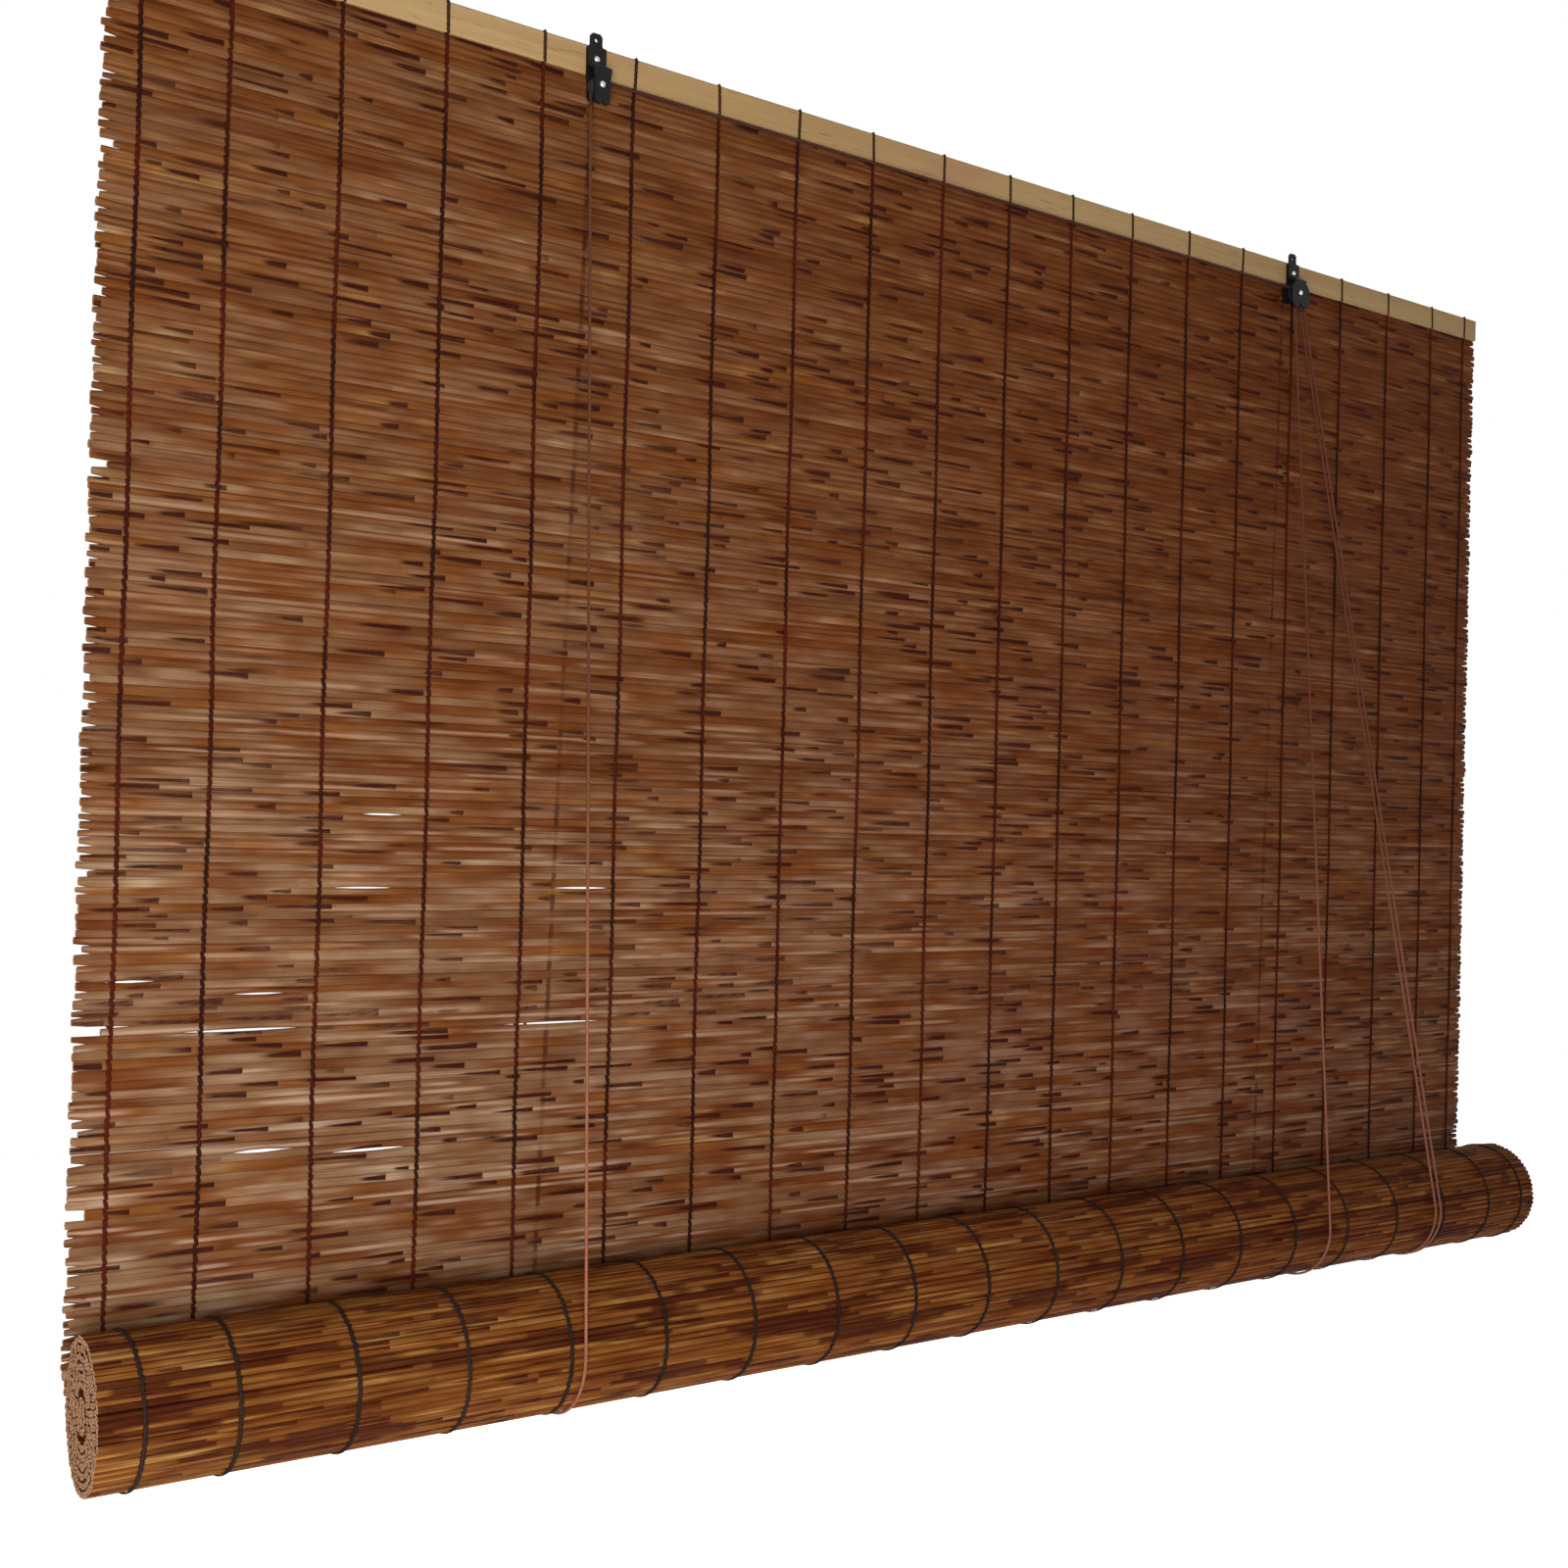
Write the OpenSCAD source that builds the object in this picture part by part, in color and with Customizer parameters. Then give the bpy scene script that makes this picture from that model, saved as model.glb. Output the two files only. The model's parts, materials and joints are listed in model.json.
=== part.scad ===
// Roll-up reed blind, half raised, hung by two pulley hangers on its head batten.
// +X runs along the blind to the right, +Y towards the wall, +Z up.
// The origin lies midway between the two hanging eyes, on the back of their plates.

/* [Overall] */
// Width of the mat, along the reeds
mat_w = 1600; // [1300:10:2000]
// Hanging length from the head batten's lower edge to the roll's axis
drop = 1000; // [700:10:1600]

/* [Head batten] */
// Height of the batten
batten_h = 24; // [20:1:40]
// Thickness of the batten
batten_t = 9; // [8:0.5:14]
// How far the reeds stand past each end of the batten
batten_inset = 3; // [0:0.5:10]
// Chamfer along the batten's long edges
batten_edge = 1.2; // [0.4:0.1:2]

/* [Reed mat] */
// Thickness of the mat, which is one reed
mat_t = 5; // [4:0.25:7]
// Mean height that one reed takes up
reed_pitch = 6; // [5:0.25:9]
// Share by which a reed may be thicker or thinner than the mean
reed_spread = 0.25; // [0:0.05:0.35]
// Depth of the groove between two reeds
reed_groove = 1.1; // [0.5:0.1:1.5]
// Number of slits that light shows through
slit_count = 76; // [0:1:80]
// Height of a slit
slit_h = 1.8; // [1:0.1:2.5]
// Longest slit
slit_len = 52; // [20:1:60]
// Number of short reeds at each side edge
notch_count = 20; // [0:1:20]
// How far the shortest reed stays back from the edge
notch_depth = 9; // [3:0.5:15]

/* [Twines] */
// Number of twines that bind the reeds
twine_count = 20; // [8:1:30]
// Width of a twine
twine_w = 4.2; // [2:0.1:5]
// Thickness of a twine on the reeds
twine_t = 1.4; // [0.8:0.1:2]
// Thickness of a twine where it is pulled flat over the batten
twine_flat = 0.6; // [0.3:0.1:1]
// First and last twine, from the side edges
twine_inset = 26; // [15:1:50]
// Spacing of the outermost two twines
twine_edge_bay = 63; // [40:1:90]

/* [Roll] */
// Outer radius of the roll
roll_r = 52; // [45:0.5:70]
// Smallest gap between two turns
turn_gap = 0.6; // [0.5:0.1:1.2]
// Height of the bottom batten in the roll's core
foot_h = 22; // [18:1:26]
// Thickness of the bottom batten
foot_t = 9; // [6:0.5:12]
// How far the bottom batten stays inside the roll's ends
foot_inset = 40; // [20:5:60]

/* [Hangers] */
// Left hanger, from the mat's left edge
left_hanger_inset = 385; // [200:5:450]
// Right hanger, from the mat's right edge
right_hanger_inset = 345; // [200:5:450]
// Thickness of the hanger plates
plate_t = 2; // [1.5:0.1:3]
// Width of the left hanger's plates beside the wheel
left_plate_w = 14; // [13:0.5:30]
// Width of the right hanger's plates beside the wheel and its two cords
right_plate_w = 28; // [22:0.5:32]
// Width of the plates on the batten
tab_w = 16.5; // [14:0.5:20]
// Width of the neck below the eye
neck_w = 11; // [9:0.5:12]
// Radius of the eye's hole
eye_hole_r = 1.6; // [1.4:0.1:2.4]
// Height of the eye's centre above the batten
eye_rise = 4; // [3.5:0.25:8]
// Depth of the batten screw below the batten's top
screw_drop = 12; // [11:0.5:13]
// Depth of the wheel's axle below the batten's lower edge
axle_drop = 11; // [10:0.5:14]
// Depth of the front plates' lower end below the axle
plate_tail = 16; // [14:0.5:20]
// Depth of the rear plates' lower end below the axle
rear_tail = 11; // [10:0.5:16]
// Radius of the batten screw
screw_r = 1.5; // [1.2:0.1:2]
// Length of the batten screw in the batten
screw_grip = 7; // [5:0.5:7.5]
// Radius of the screw and rivet heads
head_r = 2.6; // [2.4:0.1:4]
// Height of the screw and rivet heads
head_h = 1.3; // [1:0.1:2]

/* [Pulley wheels] */
// Radius of a wheel's rim
wheel_r = 7.5; // [7.25:0.25:9]
// Width of a wheel
wheel_w = 9.2; // [9:0.2:12]
// Radius of the axle rivet
axle_r = 1.6; // [1.4:0.1:2]
// Radial play of a wheel on its axle
axle_play = 0.08; // [0.03:0.01:0.1]
// Side play of a wheel between its plates
side_play = 0.4; // [0.3:0.05:0.8]

/* [Cords] */
// Diameter of the cord
cord_d = 2.5; // [2:0.1:3]
// Space between a cord and what it runs on
cord_play = 0.4; // [0.3:0.05:0.6]
// Radius of the cord's middle line round a wheel
cord_wrap_r = 6; // [5.8:0.1:6.2]
// Left lift cord at the roll, from the mat's left edge
left_cord_x = 351; // [200:1:500]
// Right lift cord at the roll, from the mat's left edge
right_cord_x = 1229; // [1000:1:1400]
// Pull cords at the roll, from the mat's left edge
pull_cord_x = 1410; // [1300:1:1550]
// Spacing of the two pull cords at the roll
pull_gap = 9; // [4:0.5:12]
// Radius of the stopper knots on the screw eyes
knot_r = 3.4; // [3.2:0.1:5]
// Radius of the screw eyes' rings, at the middle of the wire
ring_r = 4; // [3.5:0.1:6]
// Radius of the screw eyes' wire
ring_wire_r = 1; // [0.8:0.1:1.4]

/* [Hidden] */
$fn = 48;

// Places across the blind
hanger_span = mat_w - left_hanger_inset - right_hanger_inset;
left_x = -hanger_span / 2;
right_x = hanger_span / 2;
edge_x = left_x - left_hanger_inset;

// Places through the blind's thickness
batten_y = twine_flat;
mat_y = batten_y + (batten_t - mat_t) / 2;
mat_back_y = mat_y + mat_t;
batten_back_y = batten_y + batten_t;
wheel_y = -(plate_t + side_play + wheel_w / 2);
front_plate_y = wheel_y - wheel_w / 2 - side_play - plate_t;

// Play of a screw in its pilot hole
pilot_play = 0.05;

// Heights
batten_top = -eye_rise;
batten_foot = batten_top - batten_h;
screw_z = batten_top - screw_drop;
axle_z = batten_foot - axle_drop;
plate_foot = axle_z - plate_tail;
rear_foot = axle_z - rear_tail;
roll_z = batten_foot - drop;
roll_y = mat_back_y - roll_r;

// Reeds of the hanging mat: seeded heights, scaled to fill the drop
reed_count = round(drop / reed_pitch);
reed_raw = rands(1 - reed_spread, 1 + reed_spread, reed_count, 41);
reed_sum = [for (v = reed_raw) 1] * reed_raw;
reed_h = [for (v = reed_raw) v * drop / reed_sum];
reed_z = [for (i = 0, z = batten_foot; i <= reed_count; z = z - (i < reed_count ? reed_h[i] : 0), i = i + 1) z];

// Twines
twine_inner = twine_inset + twine_edge_bay;
twine_pitch = (mat_w - 2 * twine_inner) / (twine_count - 3);
function twine_x(i) =
    edge_x + (i == 0 ? twine_inset
            : i == twine_count - 1 ? mat_w - twine_inset
            : twine_inner + (i - 1) * twine_pitch);

// The roll: it starts at the rear, where the mat comes down, and winds in under the front. Each turn
// is round and dips behind the roll's top, to pass under its own start.
seat_play = 0.3;
core_r = norm([foot_h, foot_t]) / 2 + seat_play;
roll_turns = floor((roll_r - mat_t - core_r) / (mat_t + turn_gap));
turn_pitch = (roll_r - mat_t - core_r) / roll_turns;
roll_reeds = round(2 * PI * roll_r / reed_pitch);
turn_step = 15;
dip_start = 312;
dip_end = 352;
function turn_r(a) =
    let (turn = floor(a / 360), dip = (a - 360 * turn - dip_start) / (dip_end - dip_start))
    roll_r - turn_pitch * (turn + max(0, min(1, dip)));
function roll_point(a, r) = [roll_y + r * cos(a), roll_z - r * sin(a)];

// Cords: middle lines. Angles round the roll count from its rear, downwards.
cord_r = cord_d / 2;
sling_r = roll_r + cord_play + cord_r;
sling_end = 186;
sling_steps = 18;
sling_rise = roll_r + 8;
groove_r = cord_wrap_r - cord_r - cord_play;
groove_y = [wheel_y + wheel_w / 4, wheel_y - wheel_w / 4];
ring_y = batten_back_y + ring_r + ring_wire_r;
ring_z = batten_top - batten_h / 2;
knot_z = ring_z + sqrt(pow(knot_r + ring_wire_r + seat_play, 2) - pow(ring_r, 2));
knot_foot = knot_z - knot_r * 0.8;
tail_y = mat_back_y + twine_t + cord_r + cord_play;
tail_knot_z = roll_z + 98;
tail_knot_r = 4.6;
tail_knot_h = 9;
tail_knot_y = mat_back_y + tail_knot_r + cord_play;
tail_rise = 5;

// Depth of a lift cord's back run at height z
function back_cord_y(z) =
    let (rear = roll_y + sling_r) rear + (ring_y - rear) * (z - roll_z) / (knot_foot - roll_z);

function sling_point(x, a) = [edge_x + x, roll_y + sling_r * cos(a), roll_z - sling_r * sin(a)];
function sling_way(a) = [0, sin(a), cos(a)];
function sling_arc(x) = [for (i = [sling_steps : -1 : 0]) sling_point(x, sling_end * i / sling_steps)];
// Where a front run, which shortens, meets the run that rises with the roll
function meet(from, cord_x) =
    let (to = sling_point(cord_x, sling_end)) to + (from - to) * (roll_z + sling_rise - to.z) / (from.z - to.z);
function sling_path(from, cord_x) = concat([meet(from, cord_x)], sling_arc(cord_x));
function wheel_point(x, y, a) = [x - cord_wrap_r * cos(a), y, axle_z + cord_wrap_r * sin(a)];
function wheel_arc(x, y, a0, a1) = [for (a = [a0 : 30 : a1]) wheel_point(x, y, a)];
function unit(v) = v / norm(v);

// Where the front runs leave the wheels
left_from = wheel_point(left_x, groove_y[0], 0);
right_from = wheel_point(right_x, groove_y[1], 0);
pull_from = [for (y = groove_y) wheel_point(right_x, y, 180)];

// Places a profile drawn in Y and Z along X
module along_x(x, length) {
    translate([x, 0, 0]) rotate([90, 0, 90]) linear_extrude(length) children();
}

// Places an outline drawn in X and Z, from y towards the viewer
module towards_viewer(x, y, length) {
    translate([x, y, 0]) rotate([90, 0, 0]) linear_extrude(length) children();
}

// A cord: an eight-sided tube along its middle line, with the ends square to the ways given
module cord(points, first_way, last_way, side) {
    sides = 8;
    last = len(points) - 1;
    ways = [for (i = [0 : last])
        i == 0 ? first_way : i == last ? last_way
        : unit(unit(points[i] - points[i - 1]) + unit(points[i + 1] - points[i]))];
    rings = [for (i = [0 : last])
        let (a = unit(side - (side * ways[i]) * ways[i]), b = cross(ways[i], a))
        for (k = [0 : sides - 1])
            points[i] + cord_r * (cos(k * 360 / sides) * a + sin(k * 360 / sides) * b)];
    walls = [for (i = [0 : last - 1], k = [0 : sides - 1])
        let (n = (k + 1) % sides, low = i * sides, high = low + sides)
        each [[low + k, high + k, high + n], [low + k, high + n, low + n]]];
    caps = [[for (k = [0 : sides - 1]) k],
            [for (k = [sides - 1 : -1 : 0]) last * sides + k]];
    polyhedron(rings, concat(walls, caps));
}

module head_batten() {
    e = batten_edge;
    color("burlywood") difference() {
        along_x(edge_x + batten_inset, mat_w - 2 * batten_inset)
            polygon([[batten_y + e, batten_foot], [batten_back_y - e, batten_foot],
                     [batten_back_y, batten_foot + e], [batten_back_y, batten_top - e],
                     [batten_back_y - e, batten_top], [batten_y + e, batten_top],
                     [batten_y, batten_top - e], [batten_y, batten_foot + e]]);
        for (x = [left_x, right_x])
            towards_viewer(x, batten_y + screw_grip, screw_grip + 1)
                translate([0, screw_z]) circle(screw_r + pilot_play);
        for (x = [left_cord_x, right_cord_x])
            towards_viewer(edge_x + x, batten_back_y + 1, screw_grip)
                translate([0, ring_z]) circle(ring_wire_r + pilot_play);
    }
}

// One reed's outline on the mat's front or back: a groove, then a crest
function reed_edge(i, crest, groove) =
    [[groove, reed_z[i]],
     [crest, reed_z[i] - reed_h[i] * 0.25],
     [crest, reed_z[i] - reed_h[i] * 0.75]];

module mat_slits() {
    margin = twine_w;
    low = [for (v = rands(0, 1, slit_count, 7)) floor(3 + (reed_count - 8) * (1 - 0.8 * v * v))];
    bay = [for (v = rands(0, 1, slit_count, 8)) floor((twine_count - 1) * pow(v, 1.4))];
    size = rands(slit_len * 0.35, slit_len, slit_count, 9);
    shift = rands(0, 1, slit_count, 10);
    for (i = [0 : slit_count - 1]) {
        room = twine_x(bay[i] + 1) - twine_x(bay[i]) - 2 * margin;
        length = min(size[i], room);
        translate([twine_x(bay[i]) + margin + shift[i] * (room - length), mat_y - 1,
                   reed_z[low[i]] - slit_h / 2])
            cube([length, mat_t + 2, slit_h]);
    }
}

module edge_notches(x, side, seed) {
    rows = rands(2, reed_count - 2, notch_count, seed);
    depths = rands(notch_depth * 0.3, notch_depth, notch_count, seed + 1);
    groove_line = 0.3;
    for (i = [0 : notch_count - 1]) {
        row = floor(rows[i]);
        translate([side > 0 ? x - 1 : x - depths[i], mat_y - 1, reed_z[row + 1] + groove_line])
            cube([depths[i] + 1, mat_t + 2, reed_h[row] - 2 * groove_line]);
    }
}

module reed_mat() {
    front = [for (i = [0 : reed_count - 1]) each reed_edge(i, mat_y, mat_y + reed_groove)];
    back = [for (i = [0 : reed_count - 1]) each reed_edge(i, mat_back_y, mat_back_y - reed_groove)];
    foot = [[mat_y + reed_groove, roll_z], [mat_back_y - reed_groove, roll_z]];
    outline = concat(front, foot, [for (i = [len(back) - 1 : -1 : 0]) back[i]]);
    color("peru") difference() {
        along_x(edge_x, mat_w) polygon(outline);
        mat_slits();
        edge_notches(edge_x, 1, 21);
        edge_notches(edge_x + mat_w, -1, 31);
    }
}

// Each twine runs up the mat's front, flat over the batten, and down the back
module mat_twines() {
    slope = 2 * (mat_y - batten_y) + twine_t;
    nip = roll_z + roll_r * 0.36;
    f = twine_flat;
    t = twine_t;
    outer = [[mat_y - t, nip], [mat_y - t, batten_foot - slope], [batten_y - f, batten_foot],
             [batten_y - f, batten_top + f], [batten_back_y + f, batten_top + f],
             [batten_back_y + f, batten_foot], [mat_back_y + t, batten_foot - slope],
             [mat_back_y + t, roll_z]];
    inner = [[mat_back_y, roll_z], [mat_back_y, batten_foot - slope], [batten_back_y, batten_foot],
             [batten_back_y, batten_top], [batten_y, batten_top], [batten_y, batten_foot],
             [mat_y, batten_foot - slope], [mat_y, nip]];
    color("darkslategray") for (i = [0 : twine_count - 1])
        along_x(twine_x(i) - twine_w / 2, twine_w) polygon(concat(outer, inner));
}

module rolled_mat() {
    step = 360 / roll_reeds;
    outer_turn = [for (k = [0 : roll_reeds - 1])
        each [roll_point(k * step, turn_r(k * step) - reed_groove),
              roll_point((k + 0.25) * step, turn_r((k + 0.25) * step)),
              roll_point((k + 0.75) * step, turn_r((k + 0.75) * step))]];
    outside = [for (a = [360 : turn_step : roll_turns * 360]) roll_point(a, turn_r(a))];
    inside = [for (a = [roll_turns * 360 : -turn_step : 0]) roll_point(a, turn_r(a) - mat_t)];
    color("sienna") along_x(edge_x, mat_w) polygon(concat(outer_turn, outside, inside));
}

// Each twine lies on the roll's outer turn, from the rear round the front to the nip
module roll_twines() {
    start = 6;
    step = 18;
    count = 17;
    angles = [for (i = [0 : count]) start + i * step];
    fit = 1 / cos(step / 2);
    inner = [for (a = angles) roll_point(a, turn_r(a) * fit)];
    outer = [for (i = [count : -1 : 0]) roll_point(angles[i], (turn_r(angles[i]) + twine_t) * fit)];
    color("darkslategray") for (i = [0 : twine_count - 1])
        along_x(twine_x(i) - twine_w / 2, twine_w) polygon(concat(inner, outer));
}

// The bottom batten lies in the core with one edge against the spiral's inner end
module bottom_batten() {
    color("burlywood") along_x(edge_x + foot_inset, mat_w - 2 * foot_inset)
        translate([roll_y, roll_z]) rotate(-atan2(foot_h, foot_t)) square([foot_t, foot_h], center = true);
}

// Right half of a hanger plate's outline in X and Z: tab on the batten, cheek beside the wheel,
// and a rounded foot; the two feet meet in a notch above the cords
function plate_half(w, foot) =
    let (shoulder = (tab_w - neck_w) / 2, corner = w / 4)
    concat([[neck_w / 2, batten_top], [tab_w / 2, batten_top - shoulder], [tab_w / 2, batten_foot],
            [w / 2, axle_z + wheel_r / 2]],
           [for (a = [0 : 30 : 180]) [corner + corner * cos(a), foot + corner - corner * sin(a)]]);

module plate_outline(w, foot) {
    half = plate_half(w, foot);
    polygon(concat(half, [for (i = [len(half) - 2 : -1 : 0]) [-half[i].x, half[i].y]]));
}

// Neck above the batten, with cut corners
module eye_outline() {
    sink = plate_t;
    top = neck_w / 2;
    cut = neck_w / 5;
    polygon([[top, batten_top - sink], [top, top - cut], [top - cut, top],
             [cut - top, top], [-top, top - cut], [-top, batten_top - sink]]);
}

module rear_plate(x, w) {
    difference() {
        union() {
            towards_viewer(x, 0, plate_t) {
                plate_outline(w, rear_foot);
                eye_outline();
            }
            // Pressed seat that stands on the batten beside the twines
            towards_viewer(x, twine_flat, twine_flat + plate_t / 2)
                translate([0, screw_z]) circle(screw_r + 1);
        }
        towards_viewer(x, 1, plate_t + 2) circle(eye_hole_r);
        towards_viewer(x, 1, plate_t + 2) translate([0, screw_z]) circle(screw_r + axle_play);
        towards_viewer(x, 1, plate_t + 2) translate([0, axle_z]) circle(axle_r + axle_play);
    }
}

// The front plate lies on the rear one at the batten and steps forward to clear the wheel
module front_plate(x, w) {
    step_top = screw_z - head_r - 1;
    step_foot = step_top - axle_drop / 2;
    difference() {
        intersection() {
            towards_viewer(x, 0, 2 * plate_t - front_plate_y) plate_outline(w, plate_foot);
            along_x(x - w, 2 * w)
                polygon([[-plate_t, batten_top - plate_t], [-plate_t, step_top - plate_t],
                         [front_plate_y + plate_t, step_foot - plate_t], [front_plate_y + plate_t, plate_foot],
                         [front_plate_y, plate_foot], [front_plate_y, step_foot],
                         [-2 * plate_t, step_top], [-2 * plate_t, batten_top - plate_t]]);
        }
        towards_viewer(x, 0, 3 * plate_t) translate([0, screw_z]) circle(screw_r + axle_play);
        towards_viewer(x, front_plate_y + 2 * plate_t, 3 * plate_t)
            translate([0, axle_z]) circle(axle_r + axle_play);
    }
}

// A wheel with a groove for each of the two cords
module wheel(x) {
    half = wheel_w / 2;
    mid = wheel_w / 4;
    lip = cord_r + 0.5;
    translate([x, wheel_y, axle_z]) rotate([90, 0, 0]) rotate_extrude()
        polygon([[axle_r + axle_play, -half], [wheel_r, -half], [wheel_r, -mid - lip],
                 [groove_r, -mid - cord_r], [groove_r, -mid + cord_r], [wheel_r, -mid + lip],
                 [wheel_r, mid - lip], [groove_r, mid - cord_r], [groove_r, mid + cord_r],
                 [wheel_r, mid + lip], [wheel_r, half], [axle_r + axle_play, half]]);
}

// A shank with a domed head in front, from back_y to the plate's face at face_y
module headed_pin(x, z, r, back_y, face_y) {
    dome_r = (head_r * head_r + head_h * head_h) / (2 * head_h);
    translate([x, 0, z]) {
        translate([0, back_y, 0]) rotate([90, 0, 0]) cylinder(r = r, h = back_y - face_y);
        translate([0, face_y, 0]) rotate([90, 0, 0]) intersection() {
            cylinder(r = head_r, h = head_h);
            translate([0, 0, head_h - dome_r]) sphere(dome_r);
        }
    }
}

module axle(x) {
    headed_pin(x, axle_z, axle_r, 0, front_plate_y);
}

module screw(x) {
    headed_pin(x, screw_z, screw_r, batten_y + screw_grip, -2 * plate_t);
}

// Screw eyes on the batten's back, each with its ring level so that a cord comes up through it
module screw_eyes() {
    color("silver") for (x = [left_cord_x, right_cord_x])
        translate([edge_x + x, 0, ring_z]) {
            translate([0, ring_y, 0]) rotate_extrude() translate([ring_r, 0]) circle(ring_wire_r);
            translate([0, ring_y - ring_r, 0]) rotate([90, 0, 0])
                cylinder(r = ring_wire_r, h = screw_grip - 1);
        }
}

module stopper_knots() {
    color("rosybrown") for (x = [left_cord_x, right_cord_x])
        translate([edge_x + x, ring_y, knot_z]) intersection() {
            sphere(knot_r);
            translate([-knot_r, -knot_r, knot_foot - knot_z]) cube([2 * knot_r, 2 * knot_r, 2 * knot_r]);
        }
}

// From a wheel's side down towards the roll's front
module front_cord(from, cord_x) {
    to = meet(from, cord_x);
    color("rosybrown") cord([from, to], [0, 0, -1], unit(to - from), [1, 0, 0]);
}

// Down to the roll's front and under it to its rear
module sling_cord(from, cord_x) {
    path = sling_path(from, cord_x);
    color("rosybrown") cord(path, unit(path[0] - from), [0, 0, 1], [1, 0, 0]);
}

// Up the mat's back to the stopper knot above the screw eye
module back_cord(cord_x) {
    from = sling_point(cord_x, 0);
    to = [edge_x + cord_x, ring_y, knot_foot];
    color("rosybrown") cord([from, to], [0, 0, 1], [0, 0, 1], [1, 0, 0]);
}

// From the left wheel along the batten's lower edge, and over the right wheel
module cross_cord() {
    path = concat(wheel_arc(left_x, groove_y[0], 0, 90), wheel_arc(right_x, groove_y[0], 90, 180));
    color("rosybrown") cord(path, [0, 0, 1], [0, 0, -1], [0, 1, 0]);
}

module right_wrap_cord() {
    color("rosybrown") cord(wheel_arc(right_x, groove_y[1], 0, 180), [0, 0, 1], [0, 0, -1], [0, 1, 0]);
}

// Under the roll and across the mat's back to the knot on the right lift cord
module pull_tail(from, cord_x, rise) {
    knot_x = edge_x + right_cord_x + tail_knot_r + seat_play;
    bend = [[edge_x + cord_x - 2, tail_y, roll_z + 16 + rise], [edge_x + cord_x - 12, tail_y, roll_z + 28 + rise],
            [knot_x, tail_y, tail_knot_z - 2 + rise]];
    path = concat(sling_path(from, cord_x), bend);
    color("rosybrown") cord(path, unit(path[0] - from), unit(bend[2] - bend[1]), [1, 0, 0]);
}

// The hitch stands on the mat's back and is open where the lift cord runs through it
module pull_knot() {
    play = cord_r + 2 * cord_play;
    round_off = 0.6;
    color("rosybrown") translate([edge_x + right_cord_x, 0, tail_knot_z]) difference() {
        translate([0, tail_knot_y, 0]) intersection() {
            cylinder(r = tail_knot_r, h = tail_knot_h, center = true);
            sphere(norm([tail_knot_r, tail_knot_h / 2]) - round_off);
        }
        translate([0, back_cord_y(tail_knot_z), 0]) cylinder(r = play, h = 2 * tail_knot_h, center = true);
        translate([-play, mat_y, -tail_knot_h])
            cube([2 * play, back_cord_y(tail_knot_z) - mat_y, 2 * tail_knot_h]);
    }
}

head_batten();
reed_mat();
mat_twines();
rolled_mat();
roll_twines();
bottom_batten();
color("dimgray") rear_plate(left_x, left_plate_w);  // left_rear_plate
color("dimgray") front_plate(left_x, left_plate_w);  // left_front_plate
color("darkgray") wheel(left_x);  // left_wheel
color("silver") axle(left_x);  // left_axle
color("silver") screw(left_x);  // left_screw
color("dimgray") rear_plate(right_x, right_plate_w);  // right_rear_plate
color("dimgray") front_plate(right_x, right_plate_w);  // right_front_plate
color("darkgray") wheel(right_x);  // right_wheel
color("silver") axle(right_x);  // right_axle
color("silver") screw(right_x);  // right_screw
screw_eyes();
stopper_knots();
front_cord(left_from, left_cord_x);  // left_front_cord
sling_cord(left_from, left_cord_x);  // left_sling_cord
back_cord(left_cord_x);  // left_back_cord
front_cord(right_from, right_cord_x);  // right_front_cord
sling_cord(right_from, right_cord_x);  // right_sling_cord
back_cord(right_cord_x);  // right_back_cord
cross_cord();
right_wrap_cord();
front_cord(pull_from[0], pull_cord_x);  // pull_cord_a
front_cord(pull_from[1], pull_cord_x + pull_gap);  // pull_cord_b
pull_tail(pull_from[0], pull_cord_x, 0);  // pull_tail_a
pull_tail(pull_from[1], pull_cord_x + pull_gap, tail_rise);  // pull_tail_b
pull_knot();
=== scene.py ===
"""A roll-up reed blind, half raised: its looks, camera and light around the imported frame."""
import json
import math
import random

import bpy
from mathutils import Matrix, Vector

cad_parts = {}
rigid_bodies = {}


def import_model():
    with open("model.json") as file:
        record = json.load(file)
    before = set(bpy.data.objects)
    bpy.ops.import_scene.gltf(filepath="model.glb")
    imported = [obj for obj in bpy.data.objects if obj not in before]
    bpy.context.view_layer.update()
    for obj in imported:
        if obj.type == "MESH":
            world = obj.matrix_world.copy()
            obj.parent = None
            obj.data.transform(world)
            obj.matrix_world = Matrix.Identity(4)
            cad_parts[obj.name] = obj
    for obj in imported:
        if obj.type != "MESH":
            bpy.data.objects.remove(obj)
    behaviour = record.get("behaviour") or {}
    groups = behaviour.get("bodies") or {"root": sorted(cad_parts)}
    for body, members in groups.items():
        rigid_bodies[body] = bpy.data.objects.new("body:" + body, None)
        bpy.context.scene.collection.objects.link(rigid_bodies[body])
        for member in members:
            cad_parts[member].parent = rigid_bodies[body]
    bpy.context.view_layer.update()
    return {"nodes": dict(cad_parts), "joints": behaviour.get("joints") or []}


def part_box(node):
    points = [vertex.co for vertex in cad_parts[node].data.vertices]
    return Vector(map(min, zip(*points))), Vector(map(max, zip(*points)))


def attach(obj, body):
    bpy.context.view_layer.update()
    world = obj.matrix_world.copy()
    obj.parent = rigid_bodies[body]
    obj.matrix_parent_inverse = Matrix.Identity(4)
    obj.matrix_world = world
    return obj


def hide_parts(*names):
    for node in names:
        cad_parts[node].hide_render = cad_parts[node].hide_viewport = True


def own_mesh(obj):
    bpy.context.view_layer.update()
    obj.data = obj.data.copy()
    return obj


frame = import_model()
nodes = frame["nodes"]
SEED = 11
rng = random.Random(SEED)

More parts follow.
